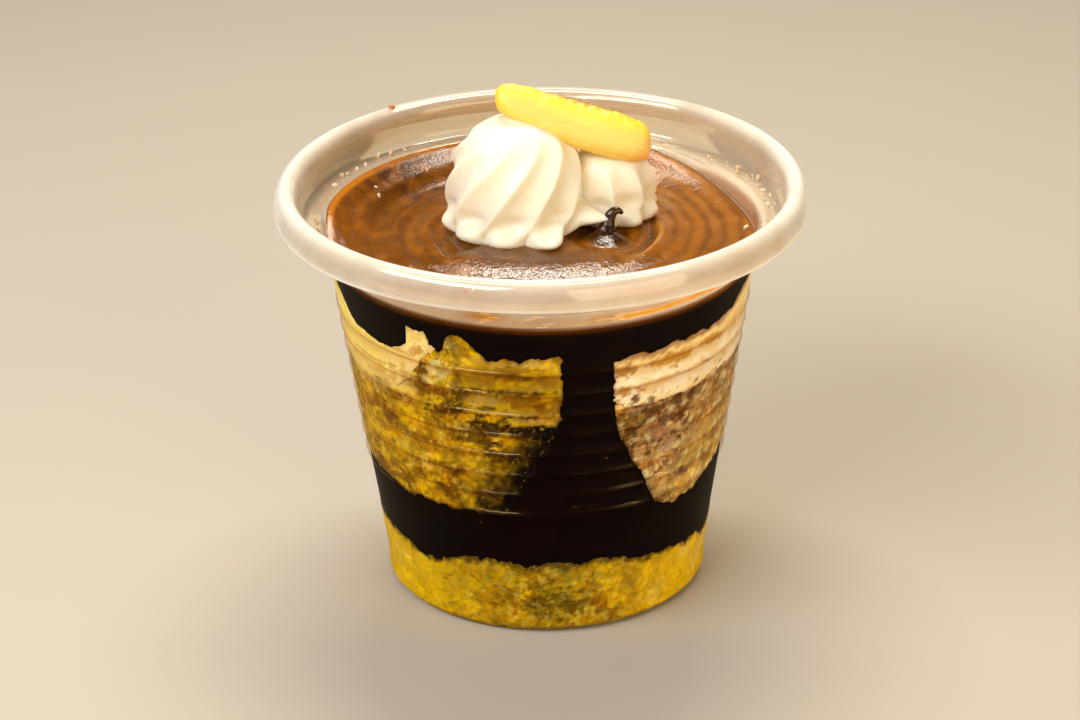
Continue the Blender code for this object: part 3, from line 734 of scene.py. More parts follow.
class DESSERT_OT_cup(bpy.types.Operator):
    """Models the clear ribbed cup with its rolled rim, ledge, skirt and foot"""

    bl_idname = "dessert.cup"
    bl_label = "Cup"

    def execute(self, context):
        looks = context.scene.dessert_cup
        cup = turned("ribbed_cup", cup_profile(looks.rib_depth / MM), looks.segments)
        points = points_of(cup)
        radius, az, z = to_polar(points)
        dry = smooth(z - edge_height(az), -0.3, 0.5)
        groove = smooth(z, LEDGE_HEIGHT - 1.4, LEDGE_HEIGHT)
        roll = smooth(radius, GROOVE - 0.2, GROOVE + 1.2) * groove
        outside = smooth(radius - wall_radius(z), -0.4, -0.2) * dry
        outside = outside * (1 - smooth(z, LEDGE_HEIGHT - 0.8, LEDGE_HEIGHT - 0.2))
        # The rim's milk rises at the roll's top and in a thin line at the skirt's lower edge, as painted
        # highlights over the milky plastic. It falls across the roll's lower part and towards the back.
        rim_milk_and_highlights = 0.84 + 0.5 * bump(z, RIM_TOP - 0.1, 1.1) + 0.8 * bump(z, SKIRT_BOTTOM + 0.2, 0.45)
        rim_milk_and_highlights = rim_milk_and_highlights - 0.2 * bump(z, SKIRT_BOTTOM + 2.3, 1.1)
        rim_milk_and_highlights = rim_milk_and_highlights * (1 - 0.35 * smooth(np.abs(az), 115, 160))
        haze = looks.wall_haze * dry * (1 + 9.5 * outside)
        weigh(cup, "haze", haze + (looks.rim_haze - looks.wall_haze) * roll * rim_milk_and_highlights)
        wet = 1 - np.maximum(dry, groove)
        from_rib = (z - RIB_LOWEST + RIB_PITCH / 2) % RIB_PITCH - RIB_PITCH / 2
        ribbed = (z > RIB_LOWEST - 1.5) & (z < RIB_LOWEST + RIB_PITCH * (RIB_COUNT - 1) + 1.5)
        broken = 0.55 + 0.9 * rough(points * (1, 1, 0.6), 7.0, 2, 33.0)
        glint = broken * ribbed * bump(from_rib, 0.15, 0.35)
        glint = glint * (1 - 0.8 * smooth(az, -10, 2) * (1 - smooth(az, 17, 24)))
        weigh(cup, "gloss", 1 - wet * (0.95 - np.clip(glint, 0, 0.9)))
        # Marks the painted shade under each rib's lower flank.
        weigh(cup, "shade", ribbed * bump(from_rib, -0.45, 0.4))
        front = 1.4 * bump(az, -15, 7) * bump(z, CHOCOLATE_LEVEL + 1.5, 1.1)
        front += smooth(az, 5, 14) * (1 - smooth(az, 52, 64)) * bump(z, CHOCOLATE_LEVEL + 0.8, 1.1)
        front = np.maximum(front, 0.75 * bump(az, 0, 70) * bump(z, CHOCOLATE_LEVEL + 0.3, 2.0))
        around = 0.4 * (1 + np.cos(np.radians(az * 3 + 60))) / 2 * smooth(np.abs(az), 60, 80)
        below_ledge = 1 - smooth(z, LEDGE_HEIGHT - 2.2, LEDGE_HEIGHT - 1.2)
        weigh(cup, "smear", np.clip(front + around, 0, 1.3) * dry * below_ledge)
        settle(cup, "clear_plastic", plastic_material(looks), replaces=["cup"])
        return {"FINISHED"}


# The layers.


def layer_blank(name, steps, side_rows, rings_above, rings_below):
    """A drum for a layer. Each vertex has an azimuth, a share of the way out and a share of the height.

    The last value says which vertices are on the drum's side.
    """
    above = [(ring / rings_above, 1.0) for ring in range(rings_above)]
    side = [(1.0, 1 - row / side_rows) for row in range(side_rows + 1)]
    below = [(ring / rings_below, 0.0) for ring in reversed(range(rings_below))]
    obj, ring, az = ball(name, len(above + side + below) - 1, steps)
    share, height = np.array(above + side + below)[ring].T
    return obj, az, share, height, share > 0.999


def edge_height(az):
    """How high the chocolate's edge climbs the wall."""
    az = (np.asarray(az) + 180) % 360 - 180
    climb = BACK_CLIMB * np.where(az < 0, smooth(-az, 76, 100), smooth(az, 105, 160))
    return CHOCOLATE_LEVEL - 0.7 * bump(az, 20, 45) + climb


def column_cover(az, z):
    """Distance in mm outside the chocolate column's outline, less than 0 inside it."""
    left = along(z, COLUMN_LEFT)
    right = along(z, COLUMN_RIGHT)
    outside = np.maximum(left - az, az - right)
    return np.radians(outside) * filling_radius(z)


def base_cover(az, z):
    """Distance in mm inside the sponge at the bottom."""
    return along(az, BASE_TOP) - z


def lump_cover(az, z):
    """Distance in mm inside the lump of sponge that stands up through the cream."""
    return np.radians(np.minimum(az - along(z, LUMP_EDGE), LUMP_RIGHT - az)) * filling_radius(z)


def second_cover(az, z):
    """Distance in mm inside the second sponge with its lump."""
    under_cream = np.maximum(along(az, CREAM_BOTTOM) - z, lump_cover(az, z))
    inside = np.minimum(z - along(az, SECOND_BOTTOM), np.minimum(under_cream, along(az, CREAM_TOP) - z))
    return np.minimum(inside, column_cover(az, z))


def cream_cover(az, z):
    """Distance in mm inside the cream layer, beside the lump."""
    inside = np.minimum(z - along(az, CREAM_BOTTOM) + 0.8, along(az, CREAM_TOP) - z)
    beside = np.where(az < 0, 0.6, -0.15 * np.clip(52 - z, 0, 8)) - lump_cover(az, z)
    return np.minimum(inside, beside)


def ragged(cover, points, amount, shift):
    """The outline's distance with the strays of the crumb added to it."""
    broad = rough(points, 3.4, 3, shift)
    fine = rough(points, 1.1, 2, shift + 7)
    crumbs = rough(points, 0.6, 2, shift + 13)
    return cover + amount * (0.8 * broad + 0.3 * fine + 0.2 * crumbs)


def side_radius(cover, depth, proud):
    """Out to the wall inside the outline, and falling away outside it."""
    return np.where(cover > 0, proud * np.tanh(cover / 0.25), np.maximum(cover * 1.1, -depth))


def pores(points, size, cover, shift):
    """Depth of the open pores, away from the outline."""
    return np.maximum(rough(points, size, 3, shift) - 0.3, 0) * 1.2 * smooth(cover, 2.4, 3.4)


def stained(tint, az, z, points, spots, shift):
    """Paints the stains, and the painted rib shade and rib highlights that some tables hold, one over the
    other, with ragged edges.
    """
    stray = 0.8 * rough(points * (1, 1, 1.5), 2.0, 4, shift) + 0.4 * rough(points, 0.8, 2, shift + 3)
    for middle, height, half_width, half_height, colour, strength in spots:
        away = np.hypot((az - middle) / half_width, (z - height) / half_height)
        tint = wash(tint, colour, strength * smooth(1.15 - away + stray, 0.0, 0.5))
    return tint


def crumb_tint(looks, points):
    """Colour of the moist crumb before its region's own stain: gold with darker patches."""
    patches = smooth(rough(points, 4.6, 3, 3.0), -0.4, 0.4)
    grains = smooth(rough(points, 1.1, 3, 11.0), -0.5, 0.5)
    share = np.clip(0.7 * patches + 0.3 * grains, 0, 1)
    return blend_colours(looks.sponge_dark, looks.sponge, share)


def crumb_material(name):
    """Moist open crumb: the painted tint in clumps and grains, with dark gaps and a few painted pale
    glints.
    """
    material, tree, shader, place = new_material(name)
    drift = add(tree, "ShaderNodeTexNoise", {"Vector": place, "Scale": 1 / (1.6 * MM), "Detail": 2.0})
    strayed = {0: drift.outputs["Color"], 1: (1.6 * MM,) * 3, 2: place}
    bent = add(tree, "ShaderNodeVectorMath", strayed, operation="MULTIPLY_ADD").outputs[0]
    coarse = cells_in(tree, bent, 1.5)
    lumps = noise_in(tree, bent, 3.4, 5.0, 0.62)
    speckle = noise_in(tree, place, 0.7, 4.0, 0.7)
    cells = stretch(tree, coarse, 0.15, 0.8, 1.06, 0.8)
    clumps = stretch(tree, lumps, 0.36, 0.64, 0.62, 1.12)
    grains = stretch(tree, speckle, 0.3, 0.7, 0.8, 1.2)
    light = maths(tree, "MULTIPLY", maths(tree, "MULTIPLY", cells, clumps), grains)
    openness = attribute(tree, "open", "Fac")
    light = maths(tree, "MULTIPLY_ADD", maths(tree, "SUBTRACT", light, 1.0), openness, 1.0)
    lit = {0: attribute(tree, "tint"), "Scale": light}
    crumb = add(tree, "ShaderNodeVectorMath", lit, operation="SCALE").outputs[0]
    pale = stretch(tree, lumps, 0.52, 0.7, 0.0, 0.3)
    paler = mix_colours(tree, pale, crumb, shade(250, 204, 90), "SOFT_LIGHT")
    # Painted glints: a few small pale highlights on the open crumb.
    bright = stretch(tree, noise_in(tree, bent, 0.7, 2.0, 0.5), 0.62, 0.7, 0.0, 0.45)
    bright = maths(tree, "MULTIPLY", bright, openness)
    set_inputs(tree, shader, {
        "Base Color": mix_colours(tree, bright, paler, shade(196, 146, 50), "SCREEN"),
        "Roughness": 0.45, "Specular IOR Level": 0.06,
        "Subsurface Weight": 0.12, "Subsurface Radius": (1.0, 0.5, 0.2), "Subsurface Scale": 0.8 * MM,
    })
    raise_bumps(tree, shader, maths(tree, "MULTIPLY_ADD", coarse, -0.6, speckle), 0.3)
    return material


class DESSERT_OT_sponge_base(bpy.types.Operator):
    """Models the sponge at the bottom of the cup, with a ragged upper edge"""

    bl_idname = "dessert.sponge_base"
    bl_label = "Sponge base"

    def execute(self, context):
        looks = context.scene.dessert_filling
        sponge, az, share, height, side = layer_blank("sponge_base_crumb", looks.segments, 46, 10, 8)
        floor = PUSH_UP + WALL - SINK - 0.9 * smooth(share, 0.9, 0.96)
        top = along(az, BASE_TOP) + 2.0 * smooth(share, 0.9, 1.0)
        z = floor + (top - floor) * height
        wall = filling_radius(z)
        points = from_polar(share * wall, az, z)
        cover = ragged(base_cover(az, z), points, looks.raggedness / MM, 1.0)
        proud = side_radius(cover, 1.8, 0.12) - pores(points, 1.1, cover, 5.0)
        corner = 0.9 * (1 - smooth(z, floor, floor + FOOT_ROUNDING)) * smooth(share, 0.9, 1.0)
        inset = np.where(side, proud, -2.0 * smooth(share, 0.8, 1.0))
        points = from_polar(share * wall + inset - corner, az, z)
        place_points(sponge, points)
        tint = crumb_tint(looks, points)
        tint = stained(tint, az, z, points, BASE_STAINS, 91.0)
        # Painted light and shade: brighter gold towards the sides, and darker at the front middle.
        middle = bump(az, 4, 34)
        tint = wash(tint, (255, 202, 8), 0.6 * (1 - middle))
        spots = smooth(rough(points, 2.4, 2, 21.0), 0.2, 0.5) * 0.5 * middle
        tint = wash(tint, (150, 88, 6), spots)
        pale = smooth(rough(points, 1.2, 3, 23.0), 0.05, 0.35) * 0.7 * middle
        tint = wash(tint, (236, 204, 84), pale)
        # Painted shade at the front middle, with the whole base shifted a little towards green.
        tint = tint * (1 - 0.36 * bump(az, -2, 40))[:, None] * (0.97, 1.03, 0.9)
        soak = 1 - smooth(cover + 0.7 * rough(points, 1.3, 3, 25.0), 0.1, 1.0 + 1.2 * bump(az, 4, 30))
        tint = wash(tint, (46, 26, 2), 0.85 * soak)
        paint(sponge, "tint", tint)
        weigh(sponge, "open", 0.4 + 0.6 * middle)
        settle(sponge, "sponge", crumb_material("gold_crumb"), replaces=["sponge_base"])
        return {"FINISHED"}


class DESSERT_OT_second_sponge(bpy.types.Operator):
    """Models the soaked second sponge, notched in front for the chocolate"""

    bl_idname = "dessert.second_sponge"
    bl_label = "Second sponge"

    def execute(self, context):
        looks = context.scene.dessert_filling
        sponge, az, share, height, side = layer_blank("second_sponge_crumb", looks.segments, 96, 12, 8)
        low = along(az, SECOND_BOTTOM) - 1.6 * smooth(share, 0.9, 1.0)
        lump = (az > LUMP_LEFT) & (az < COLUMN_MIDDLE)
        full = np.where(lump, along(az, CREAM_TOP) + 1.6, along(az, CREAM_BOTTOM) + 1.6)
        high = along(az, CREAM_BOTTOM) + (full - along(az, CREAM_BOTTOM)) * smooth(share, 0.66, 0.74)
        z = low + (high - low) * height
        wall = filling_radius(z)
        points = from_polar(share * wall, az, z)
        loose = 1 - 0.5 * bump(column_cover(az, z), 0, 3.0) * smooth(az, 8, 16)
        cover = ragged(second_cover(az, z), points, looks.raggedness / MM * loose, 3.0)
        proud = side_radius(cover, COLUMN_DEPTH, 0.12) - pores(points, 1.2, cover, 8.0)
        inset = np.where(side, proud, -1.8 * smooth(share, 0.8, 1.0))
        points = from_polar(np.maximum(share * wall + inset, 0), az, z)
        place_points(sponge, points)
        paint(sponge, "tint", second_tint(looks, points, az, z, cover))
        loose = 0.9 + 0.4 * bump(az, -24, 16) + 0.3 * bump(az, 32, 14)
        firm = 0.75 * smooth(az, -24, -19) * (az < COLUMN_MIDDLE) * smooth(z, 46.3, 47.0)
        weigh(sponge, "open", loose - firm)
        settle(sponge, "soaked_sponge", crumb_material("soaked_crumb"), replaces=["second_sponge"])
        return {"FINISHED"}


def second_tint(looks, points, az, z, cover):
    """Gold at the left, soaked dark towards the column, stained mauve at the right and pale in the lump."""
    tint = crumb_tint(looks, points)
    patches = rough(points, 3.0, 3, 31.0)
    clumps = rough(points, 1.6, 3, 41.0)
    brown = smooth(rough(points, 3.2, 4, 71.0) + 0.1 * bump(az, -25, 25), 0.15, 0.55)
    tint = wash(tint, (118, 76, 3), 0.7 * brown)
    pale = smooth(rough(points, 1.9, 3, 73.0), 0.15, 0.5) * (1 - smooth(az, 8, 16) + smooth(az, 120, 170))
    tint = wash(tint, (246, 202, 74), 0.75 * pale)
    right = smooth(az, 18, 26) * (1 - smooth(az, 110, 150))
    tint = wash(tint, (222, 184, 92), 0.8 * right)
    stain = right * smooth(patches + 0.06 * (z - 34) + 0.8 * (1 - smooth(az, 44, 52)), -0.3, 0.5)
    tint = blend_colours(tint, looks.mauve, 0.85 * stain)
    tint = wash(tint, (248, 230, 168), 0.85 * right * smooth(clumps, -0.05, 0.3))
    dark = right * smooth(-rough(points, 1.7, 3, 43.0) + 0.04 * (z - 38), 0.1, 0.4)
    dark = dark * (1 - 0.5 * smooth(az, 44, 54))
    tint = wash(tint, (84, 46, 10), 0.8 * dark)
    lump = smooth(lump_cover(az, z), -1.0, 1.0) * smooth(z, 46, 47)
    tint = stained(tint, az, z, points, SECOND_STAINS, 93.0)
    tint = stained(tint, az, z, points, LUMP_STAINS_RIB_SHADE_AND_HIGHLIGHT, 95.0)
    before_column = (az < COLUMN_MIDDLE).astype(float)
    dim = 0.4 * lump * smooth(az, -27, -21) * before_column * (1 - 0.7 * smooth(z, 54.5, 56.5))
    tint = tint * (1 - dim)[:, None]
    tint = tint * blend_colours((1.0, 1.0, 1.0), (0.96, 1.04, 0.9), before_column)
    leftwards = 1 - smooth(az, -44, -36) + smooth(az, 120, 170)
    left_cream = smooth(z - along(az, CREAM_BOTTOM) + 1.4 * patches + 1.0 * clumps, -3.2, -0.6) * leftwards
    tint = wash(tint, (250, 214, 120), 0.9 * left_cream)
    whitish = smooth(z + 0.6 * clumps, 45.0, 46.0) * smooth(clumps, 0.0, 0.3) * right
    tint = wash(tint, (240, 210, 160), 0.8 * whitish)
    under_cream = bump(z, 44.8, 1.4) * smooth(patches, 0.0, 0.45) * (1 - lump) * smooth(az, 10, 20)
    tint = wash(tint, (104, 62, 22), 0.7 * under_cream)
    at_seam = bump(z - along(az, CREAM_BOTTOM), 0, 1.8) * (1 - lump)
    edge = (1 - smooth(cover + 0.4 * clumps, 0.1, 0.9)) * (1 - at_seam)
    tint = wash(tint, (60, 34, 4), 0.6 * edge)
    clear = smooth(column_cover(az, z) + 2.0 * patches + 1.2 * clumps, 0.4, 12.0) ** 1.4
    fades = (az < 10) * (1 - smooth(z + patches, 43.6, 45.2))
    return blend_colours(tint, looks.chocolate, fades * (1 - clear))


def cream_material():
    """Soft pale cream pressed on the wall, with its stains painted on."""
    material, tree, shader, place = new_material("pale_custard_cream")
    grain = noise_in(tree, place, 1.6, 4.0, 0.6)
    pale = stretch(tree, grain, 0.35, 0.65, 0.0, 0.15)
    set_inputs(tree, shader, {
        "Base Color": mix_colours(tree, pale, attribute(tree, "tint"), shade(255, 232, 190)),
        "Roughness": 0.42, "Specular IOR Level": 0.25,
        "Subsurface Weight": 0.15, "Subsurface Radius": (1.0, 0.65, 0.35), "Subsurface Scale": 1.0 * MM,
    })
    raise_bumps(tree, shader, grain, 0.12)
    return material


class DESSERT_OT_cream_layer(bpy.types.Operator):
    """Models the pale cream on the second sponge"""

    bl_idname = "dessert.cream_layer"
    bl_label = "Cream layer"

    def execute(self, context):
        looks = context.scene.dessert_filling
        cream, az, share, height, side = layer_blank("cream_layer_band", looks.segments, 52, 10, 8)
        low = along(az, CREAM_BOTTOM) - 2.4 * smooth(share, 0.9, 1.0)
        high = along(az, CREAM_TOP) + 1.6 * smooth(share, 0.9, 1.0)
        z = low + (high - low) * height
        wall = filling_radius(z)
        points = from_polar(share * wall, az, z)
        loose = 0.8 + 0.3 * bump(z - along(az, CREAM_BOTTOM), 0, 3.0)
        cover = ragged(cream_cover(az, z), points, looks.raggedness / MM * loose, 6.0)
        dents = np.maximum(rough(points, 2.0, 3, 9.0) - 0.25, 0) * 0.7
        proud = side_radius(cover, COLUMN_DEPTH, 0.14) - dents * smooth(cover, 1.6, 2.4)
        inset = np.where(side, proud, -1.8 * smooth(share, 0.8, 1.0))
        points = from_polar(np.maximum(share * wall + inset, 0), az, z)
        place_points(cream, points)
        patches = rough(points, 2.6, 3, 51.0)
        left = 1 - smooth(az, -60, 0) + smooth(az, 105, 165)
        tint = blend_colours(looks.cream, shade(255, 224, 104), left)
        bottom = z - along(az, CREAM_BOTTOM)
        peach = smooth(z + 0.8 * patches, 53.0, 54.0) * (1 - left)
        tint = wash(tint, (246, 210, 126), 0.6 * peach)
        bright = smooth(rough(points * (1, 1, 1.6), 3.2, 3, 57.0), -0.5, 0.4)
        bright = bright * (1 - left) * (1 - smooth(z, 53.4, 54.8))
        tint = wash(tint, (255, 246, 220), 0.85 * bright)
        tint = stained(tint, az, z, points, CREAM_STAINS_AND_RIB_SHADE, 97.0)
        gold = smooth(rough(points, 2.6, 4, 55.0) + 0.17 * (2.4 - bottom), 0.0, 0.4)
        tint = wash(tint, (214, 162, 44), (0.4 + 0.4 * smooth(az, -52, -40)) * gold * left)
        top_edge = 1 - smooth(along(az, CREAM_TOP) - z + 0.9 * patches, 0.2, 1.3)
        tint = wash(tint, (150, 88, 14), 0.75 * top_edge * (1 - left))
        edge = (1 - smooth(cover, 0.05, 0.8)) * smooth(bottom, 1.0, 3.0)
        edge = edge * (0.35 + 0.65 * smooth(az, -30, 0))
        tint = wash(tint, (120, 68, 10), 0.55 * edge)
        specks = smooth(rough(points, 0.8, 2, 61.0), 0.42, 0.55) * smooth(-np.abs(bottom), -3, 0)
        tint = wash(tint, (90, 50, 16), 0.75 * specks * (1 - left))
        paint(cream, "tint", tint)
        settle(cream, "pale_cream", cream_material(), replaces=["cream_layer"])
        return {"FINISHED"}


# The chocolate.


def swirl_places(points):
    """Distance in mm from the middle of the swirl, azimuth round it, and distance from the peak."""
    distance, turn, _ = to_polar(points - (*SWIRL_CENTRE, 0))
    return distance, turn, to_polar(points - (*PEAK_PLACE, 0))[0]


def groove_turns(points, distance, az):
    """Turns of the wave that makes the fine grooves: a spiral that wavers a little."""
    waver = 0.7 * rough(points * (1, 1, 0), 9.0, 2, 12.0)
    return (distance + waver) / GROOVE_PITCH - az / 360


def turned_bump(az, middle, width):
    """A bump over an azimuth, the same all the way round."""
    return bump((az - middle + 180) % 360 - 180, 0, width)


def chocolate_relief(points, swirl_height):
    """Rise of the chocolate's top over its level: swirl, plateau, swoosh, crescent and foot of the peak."""
    distance, az, away = swirl_places(points)
    outside = smooth(distance, 13, 18)
    ridged = 0.35 + 0.65 * turned_bump(az, -95, 55)
    ridge = swirl_height * np.cos(math.tau * (distance / SWIRL_PITCH - az / 360)) * outside * ridged
    grooved = turned_bump(az, -85, 45) + 0.6 * turned_bump(az, 80, 40)
    grooves = 0.17 * np.cos(math.tau * groove_turns(points, distance, az)) * outside * grooved
    front = smooth(az, -60, -47) * (1 - smooth(az, 36, 80))
    across = np.hypot(0.82 * (points[:, 0] - SWIRL_CENTRE[0]), points[:, 1] - SWIRL_CENTRE[1])
    slope = np.clip((across - 16.4) / 5.6, 0, 1)
    swoosh = 1.1 - 0.487 * slope - 1.26 * slope**1.6
    swoosh = np.where(across > 22, -0.647 * (1 - smooth(across, 22.3, 27.5)), swoosh)
    plateau = 0.3 * (1 - smooth(distance, 15, 21))
    crescent = (0.8 * bump(distance, 21.5, 0.8) - 0.6 * bump(distance, 19.6, 0.9)) * turned_bump(az, 78, 24)
    foot = 2.0 * np.exp(-((away / 2.7) ** 1.6)) - 0.55 * bump(away, 5.0, 1.3)
    return (ridge + grooves + plateau) * (1 - front) + swoosh * front + crescent + foot


def chocolate_material():
    """Glossy chocolate cream: painted tint, faint flow marks and tiny bubbles."""
    material, tree, shader, place = new_material("glossy_chocolate_cream")
    tint = attribute(tree, "tint")
    flow = noise_in(tree, place, 4.0, 4.0, 0.6)
    dark = mix_colours(tree, stretch(tree, flow, 0.3, 0.5, 0.3, 0.0), tint, shade(70, 32, 4))
    light = stretch(tree, flow, 0.5, 0.72, 0.0, 0.25)
    matte = stretch(tree, noise_in(tree, place, 1.5, 3.0), 0.35, 0.7, 0.2, 0.28)
    set_inputs(tree, shader, {
        "Base Color": mix_colours(tree, light, dark, shade(176, 106, 14)),
        "Roughness": maths(tree, "MULTIPLY_ADD", attribute(tree, "shine", "Fac"), -0.12, matte),
        "Specular IOR Level": 0.45,
    })
    pits = stretch(tree, cells_in(tree, place, 1.7), 0.06, 0.16)
    height = maths(tree, "MULTIPLY_ADD", noise_in(tree, place, 0.5, 2.0), 1.8, pits)
    raise_bumps(tree, shader, height, 0.045)
    return material


def pressed_material():
    """Chocolate cream pressed on the clear wall, where it is nearly black and shows no gloss of its own."""
    material, tree, shader, place = new_material("chocolate_against_wall")
    mottle = noise_in(tree, place, 5.0, 3.0)
    tint = attribute(tree, "tint")
    soft = mix_colours(tree, stretch(tree, mottle, 0.4, 0.75, 0.0, 0.35), tint, shade(30, 10, 3))
    specks = stretch(tree, cells_in(tree, place, 6.0), 0.03, 0.05, 0.5, 0.0)
    colour = mix_colours(tree, specks, soft, shade(120, 90, 60))
    set_inputs(tree, shader, {"Base Color": colour, "Roughness": 0.6, "Specular IOR Level": 0.04})
    return material


def hooked_tip(name, path):
    """The small peak's tip as a tapering tube along a path of (x, y, z, radius)."""
    deselect()
    bpy.ops.curve.primitive_nurbs_path_add(location=(0, 0, 0))
    obj = bpy.context.object
    obj.name = name
    curve = obj.data
    curve.splines.clear()
    spline = curve.splines.new("BEZIER")
    spline.bezier_points.add(len(path) - 1)
    for point, (x, y, z, radius) in zip(spline.bezier_points, path):
        point.co = Vector((x, y, z)) * MM
        point.radius = radius
        point.handle_left_type = point.handle_right_type = "AUTO"
    curve.bevel_depth = MM
    curve.bevel_resolution = 6
    curve.resolution_u = 8
    curve.use_fill_caps = True
    bpy.ops.object.convert(target="MESH")
    close_mesh(obj)
    round_off(obj, 1)
    return obj


class DESSERT_OT_chocolate(bpy.types.Operator):
    """Models the chocolate: lower layer, front column and the swirled top with its small peak"""

    bl_idname = "dessert.chocolate"
    bl_label = "Chocolate"

    def execute(self, context):
        looks = context.scene.dessert_filling
        chocolate, az, share, height, side = layer_blank("swirled_chocolate", SWIRL_STEPS, 74, 104, 8)
        low = along(az, BASE_TOP) - 1.5 * smooth(share, 0.9, 1.0)
        flat = from_polar(share * filling_radius(CHOCOLATE_LEVEL), az, np.zeros(len(az)))
        relief = chocolate_relief(flat, looks.swirl_height / MM) + 0.05 * rough(flat, 1.4, 3, 4.0)
        climb = (edge_height(az) - CHOCOLATE_LEVEL) * smooth(share, 0.8, 1.0)
        high = CHOCOLATE_LEVEL + relief * (1 - smooth(share, 0.9, 1.0)) + climb
        z = low + (high - low) * height
        wall = filling_radius(z)
        waist = np.minimum(z - along(az, SECOND_BOTTOM), along(az, CREAM_TOP) - z) - 2.2
        waist = np.minimum(waist, column_cover(az, z) - 2.2)
        inset = np.where(side & (waist > 0), -np.minimum(waist * 40, wall - 2.0), 0.0)
        place_points(chocolate, from_polar(share * wall + inset, az, z))
        join(chocolate, hooked_tip("peak_tip", PEAK_PATH))
        points = points_of(chocolate)
        paint(chocolate, "tint", chocolate_tint(looks, points))
        distance, turn, away = swirl_places(points)
        shine = bump(distance, 20.5, 2.6) * turned_bump(turn, -8, 55)
        shine += 0.45 * turned_bump(turn, -88, 45)
        shine += bump(away, 3.0, 2.0)
        weigh(chocolate, "shine", np.clip(shine, 0, 1))
        materials = chocolate_material(), pressed_material()
        settle(chocolate, "chocolate_cream", *materials, replaces=["chocolate_cream"])
        middles = np.empty(len(chocolate.data.polygons) * 3)
        chocolate.data.polygons.foreach_get("center", middles)
        radius, az, z = to_polar(middles.reshape(-1, 3) / MM)
        pressed = (z < edge_height(az) - 0.15) & ((radius > filling_radius(z) - 0.5) | (z < 61))
        chocolate.data.polygons.foreach_set("material_index", pressed.astype(np.int32))
        return {"FINISHED"}


def chocolate_tint(looks, points):
    """Brown on top, nearly black in thickness at the wall, reddish where its edge thins out, with painted
    sheen, highlights and shade.
    """
    radius, az, z = to_polar(points)
    below = edge_height(az) - z
    at_wall = smooth(radius - filling_radius(z), -0.6, -0.2)
    deep = smooth(below, 0.3, 1.6) * at_wall
    brown = np.asarray(looks.chocolate_top)
    distance, turn, away = swirl_places(points)
    flow = smooth(rough(points * (1, 1, 3), 6.0, 3, 14.0), -0.5, 0.5)
    top = blend_colours(brown, brown * 0.62, flow)
    top = wash(top, (76, 42, 1), 0.9 * turned_bump(turn, 5, 48) * smooth(distance, 8, 14))
    top = wash(top, (158, 92, 6), 0.7 * turned_bump(turn, 85, 38) * smooth(distance, 10, 16))
    # Painted sheen: lighter brown at the back right.
    top = wash(top, (178, 112, 26), 0.6 * turned_bump(turn, 130, 25) * smooth(distance, 12, 18))
    streaks = (0.5 + 0.5 * np.cos(math.tau * (groove_turns(points, distance, turn) + 0.3))) ** 1.6
    sides = turned_bump(turn, -75, 48) * (1 - smooth(distance, 25, 31)) + 0.85 * turned_bump(turn, 85, 50)
    streaks = streaks * smooth(distance, 12, 16) * sides
    top = blend_colours(top, brown * 0.3, 0.7 * streaks)
    top = blend_colours(top, brown * 0.62, 0.8 * turned_bump(turn, -125, 40) * smooth(distance, 15, 24))
    patches = smooth(rough(points, 3.0, 2, 4.0), -0.4, 0.3)
    dark_left = turned_bump(az, -132, 20) * smooth(radius, 25, 31) * patches
    top = blend_colours(top, brown * 0.2, 0.85 * dark_left)
    whorl = bump(distance, 17.0, 2.0) * turned_bump(turn, -48, 24)
    top = blend_colours(top, brown * 0.3, 0.8 * whorl)
    # Painted shade behind the crescent ridge and a painted highlight on its crest.
    crescent = turned_bump(turn, 78, 26)
    top = wash(top, (70, 36, 3), 0.9 * crescent * bump(distance, 19.9, 0.9))
    top = wash(top, (214, 150, 70), 0.6 * crescent * bump(distance, 21.3, 0.6))
    shadow = (1 - smooth(away, 3.0, 5.5)) * 0.9
    top = wash(top, (26, 9, 2), shadow)
    tint = blend_colours(top, looks.chocolate, deep)
    film = smooth(radius - filling_radius(z), -1.9, -0.5) * (below < 0.4) * turned_bump(az, -100, 45)
    tint = wash(tint, (196, 112, 2), 0.95 * film)
    thin = at_wall * bump(below, 0.1, 0.35) * smooth(z, 60, 62)
    return blend_colours(tint, looks.chocolate_thin, 0.7 * thin)


# The topping.


def dome_blank(name, radius, height, power, steps, rows):
    """A tall dome with its rows evenly spaced along its outline."""
    outline = []
    for row in range(rows + 1):
        z = height * math.sin(math.pi / 2 * (1 - row / rows))
        outline.append((radius * max(1 - (z / height) ** power, 0) ** (1 / 1.8), z))
    outline[0] = (0.0, height)
    low = UNDERSIDE_ROUNDING
    outline += [(radius - low * (1 - math.cos(a)), -low * math.sin(a)) for a in (0.4, 0.8, 1.2, 1.5)]
    outline += [(radius * share, -low) for share in (0.8, 0.6, 0.4, 0.2, 0.0)]
    return turned(name, [(r, z + low) for r, z in outline], steps)


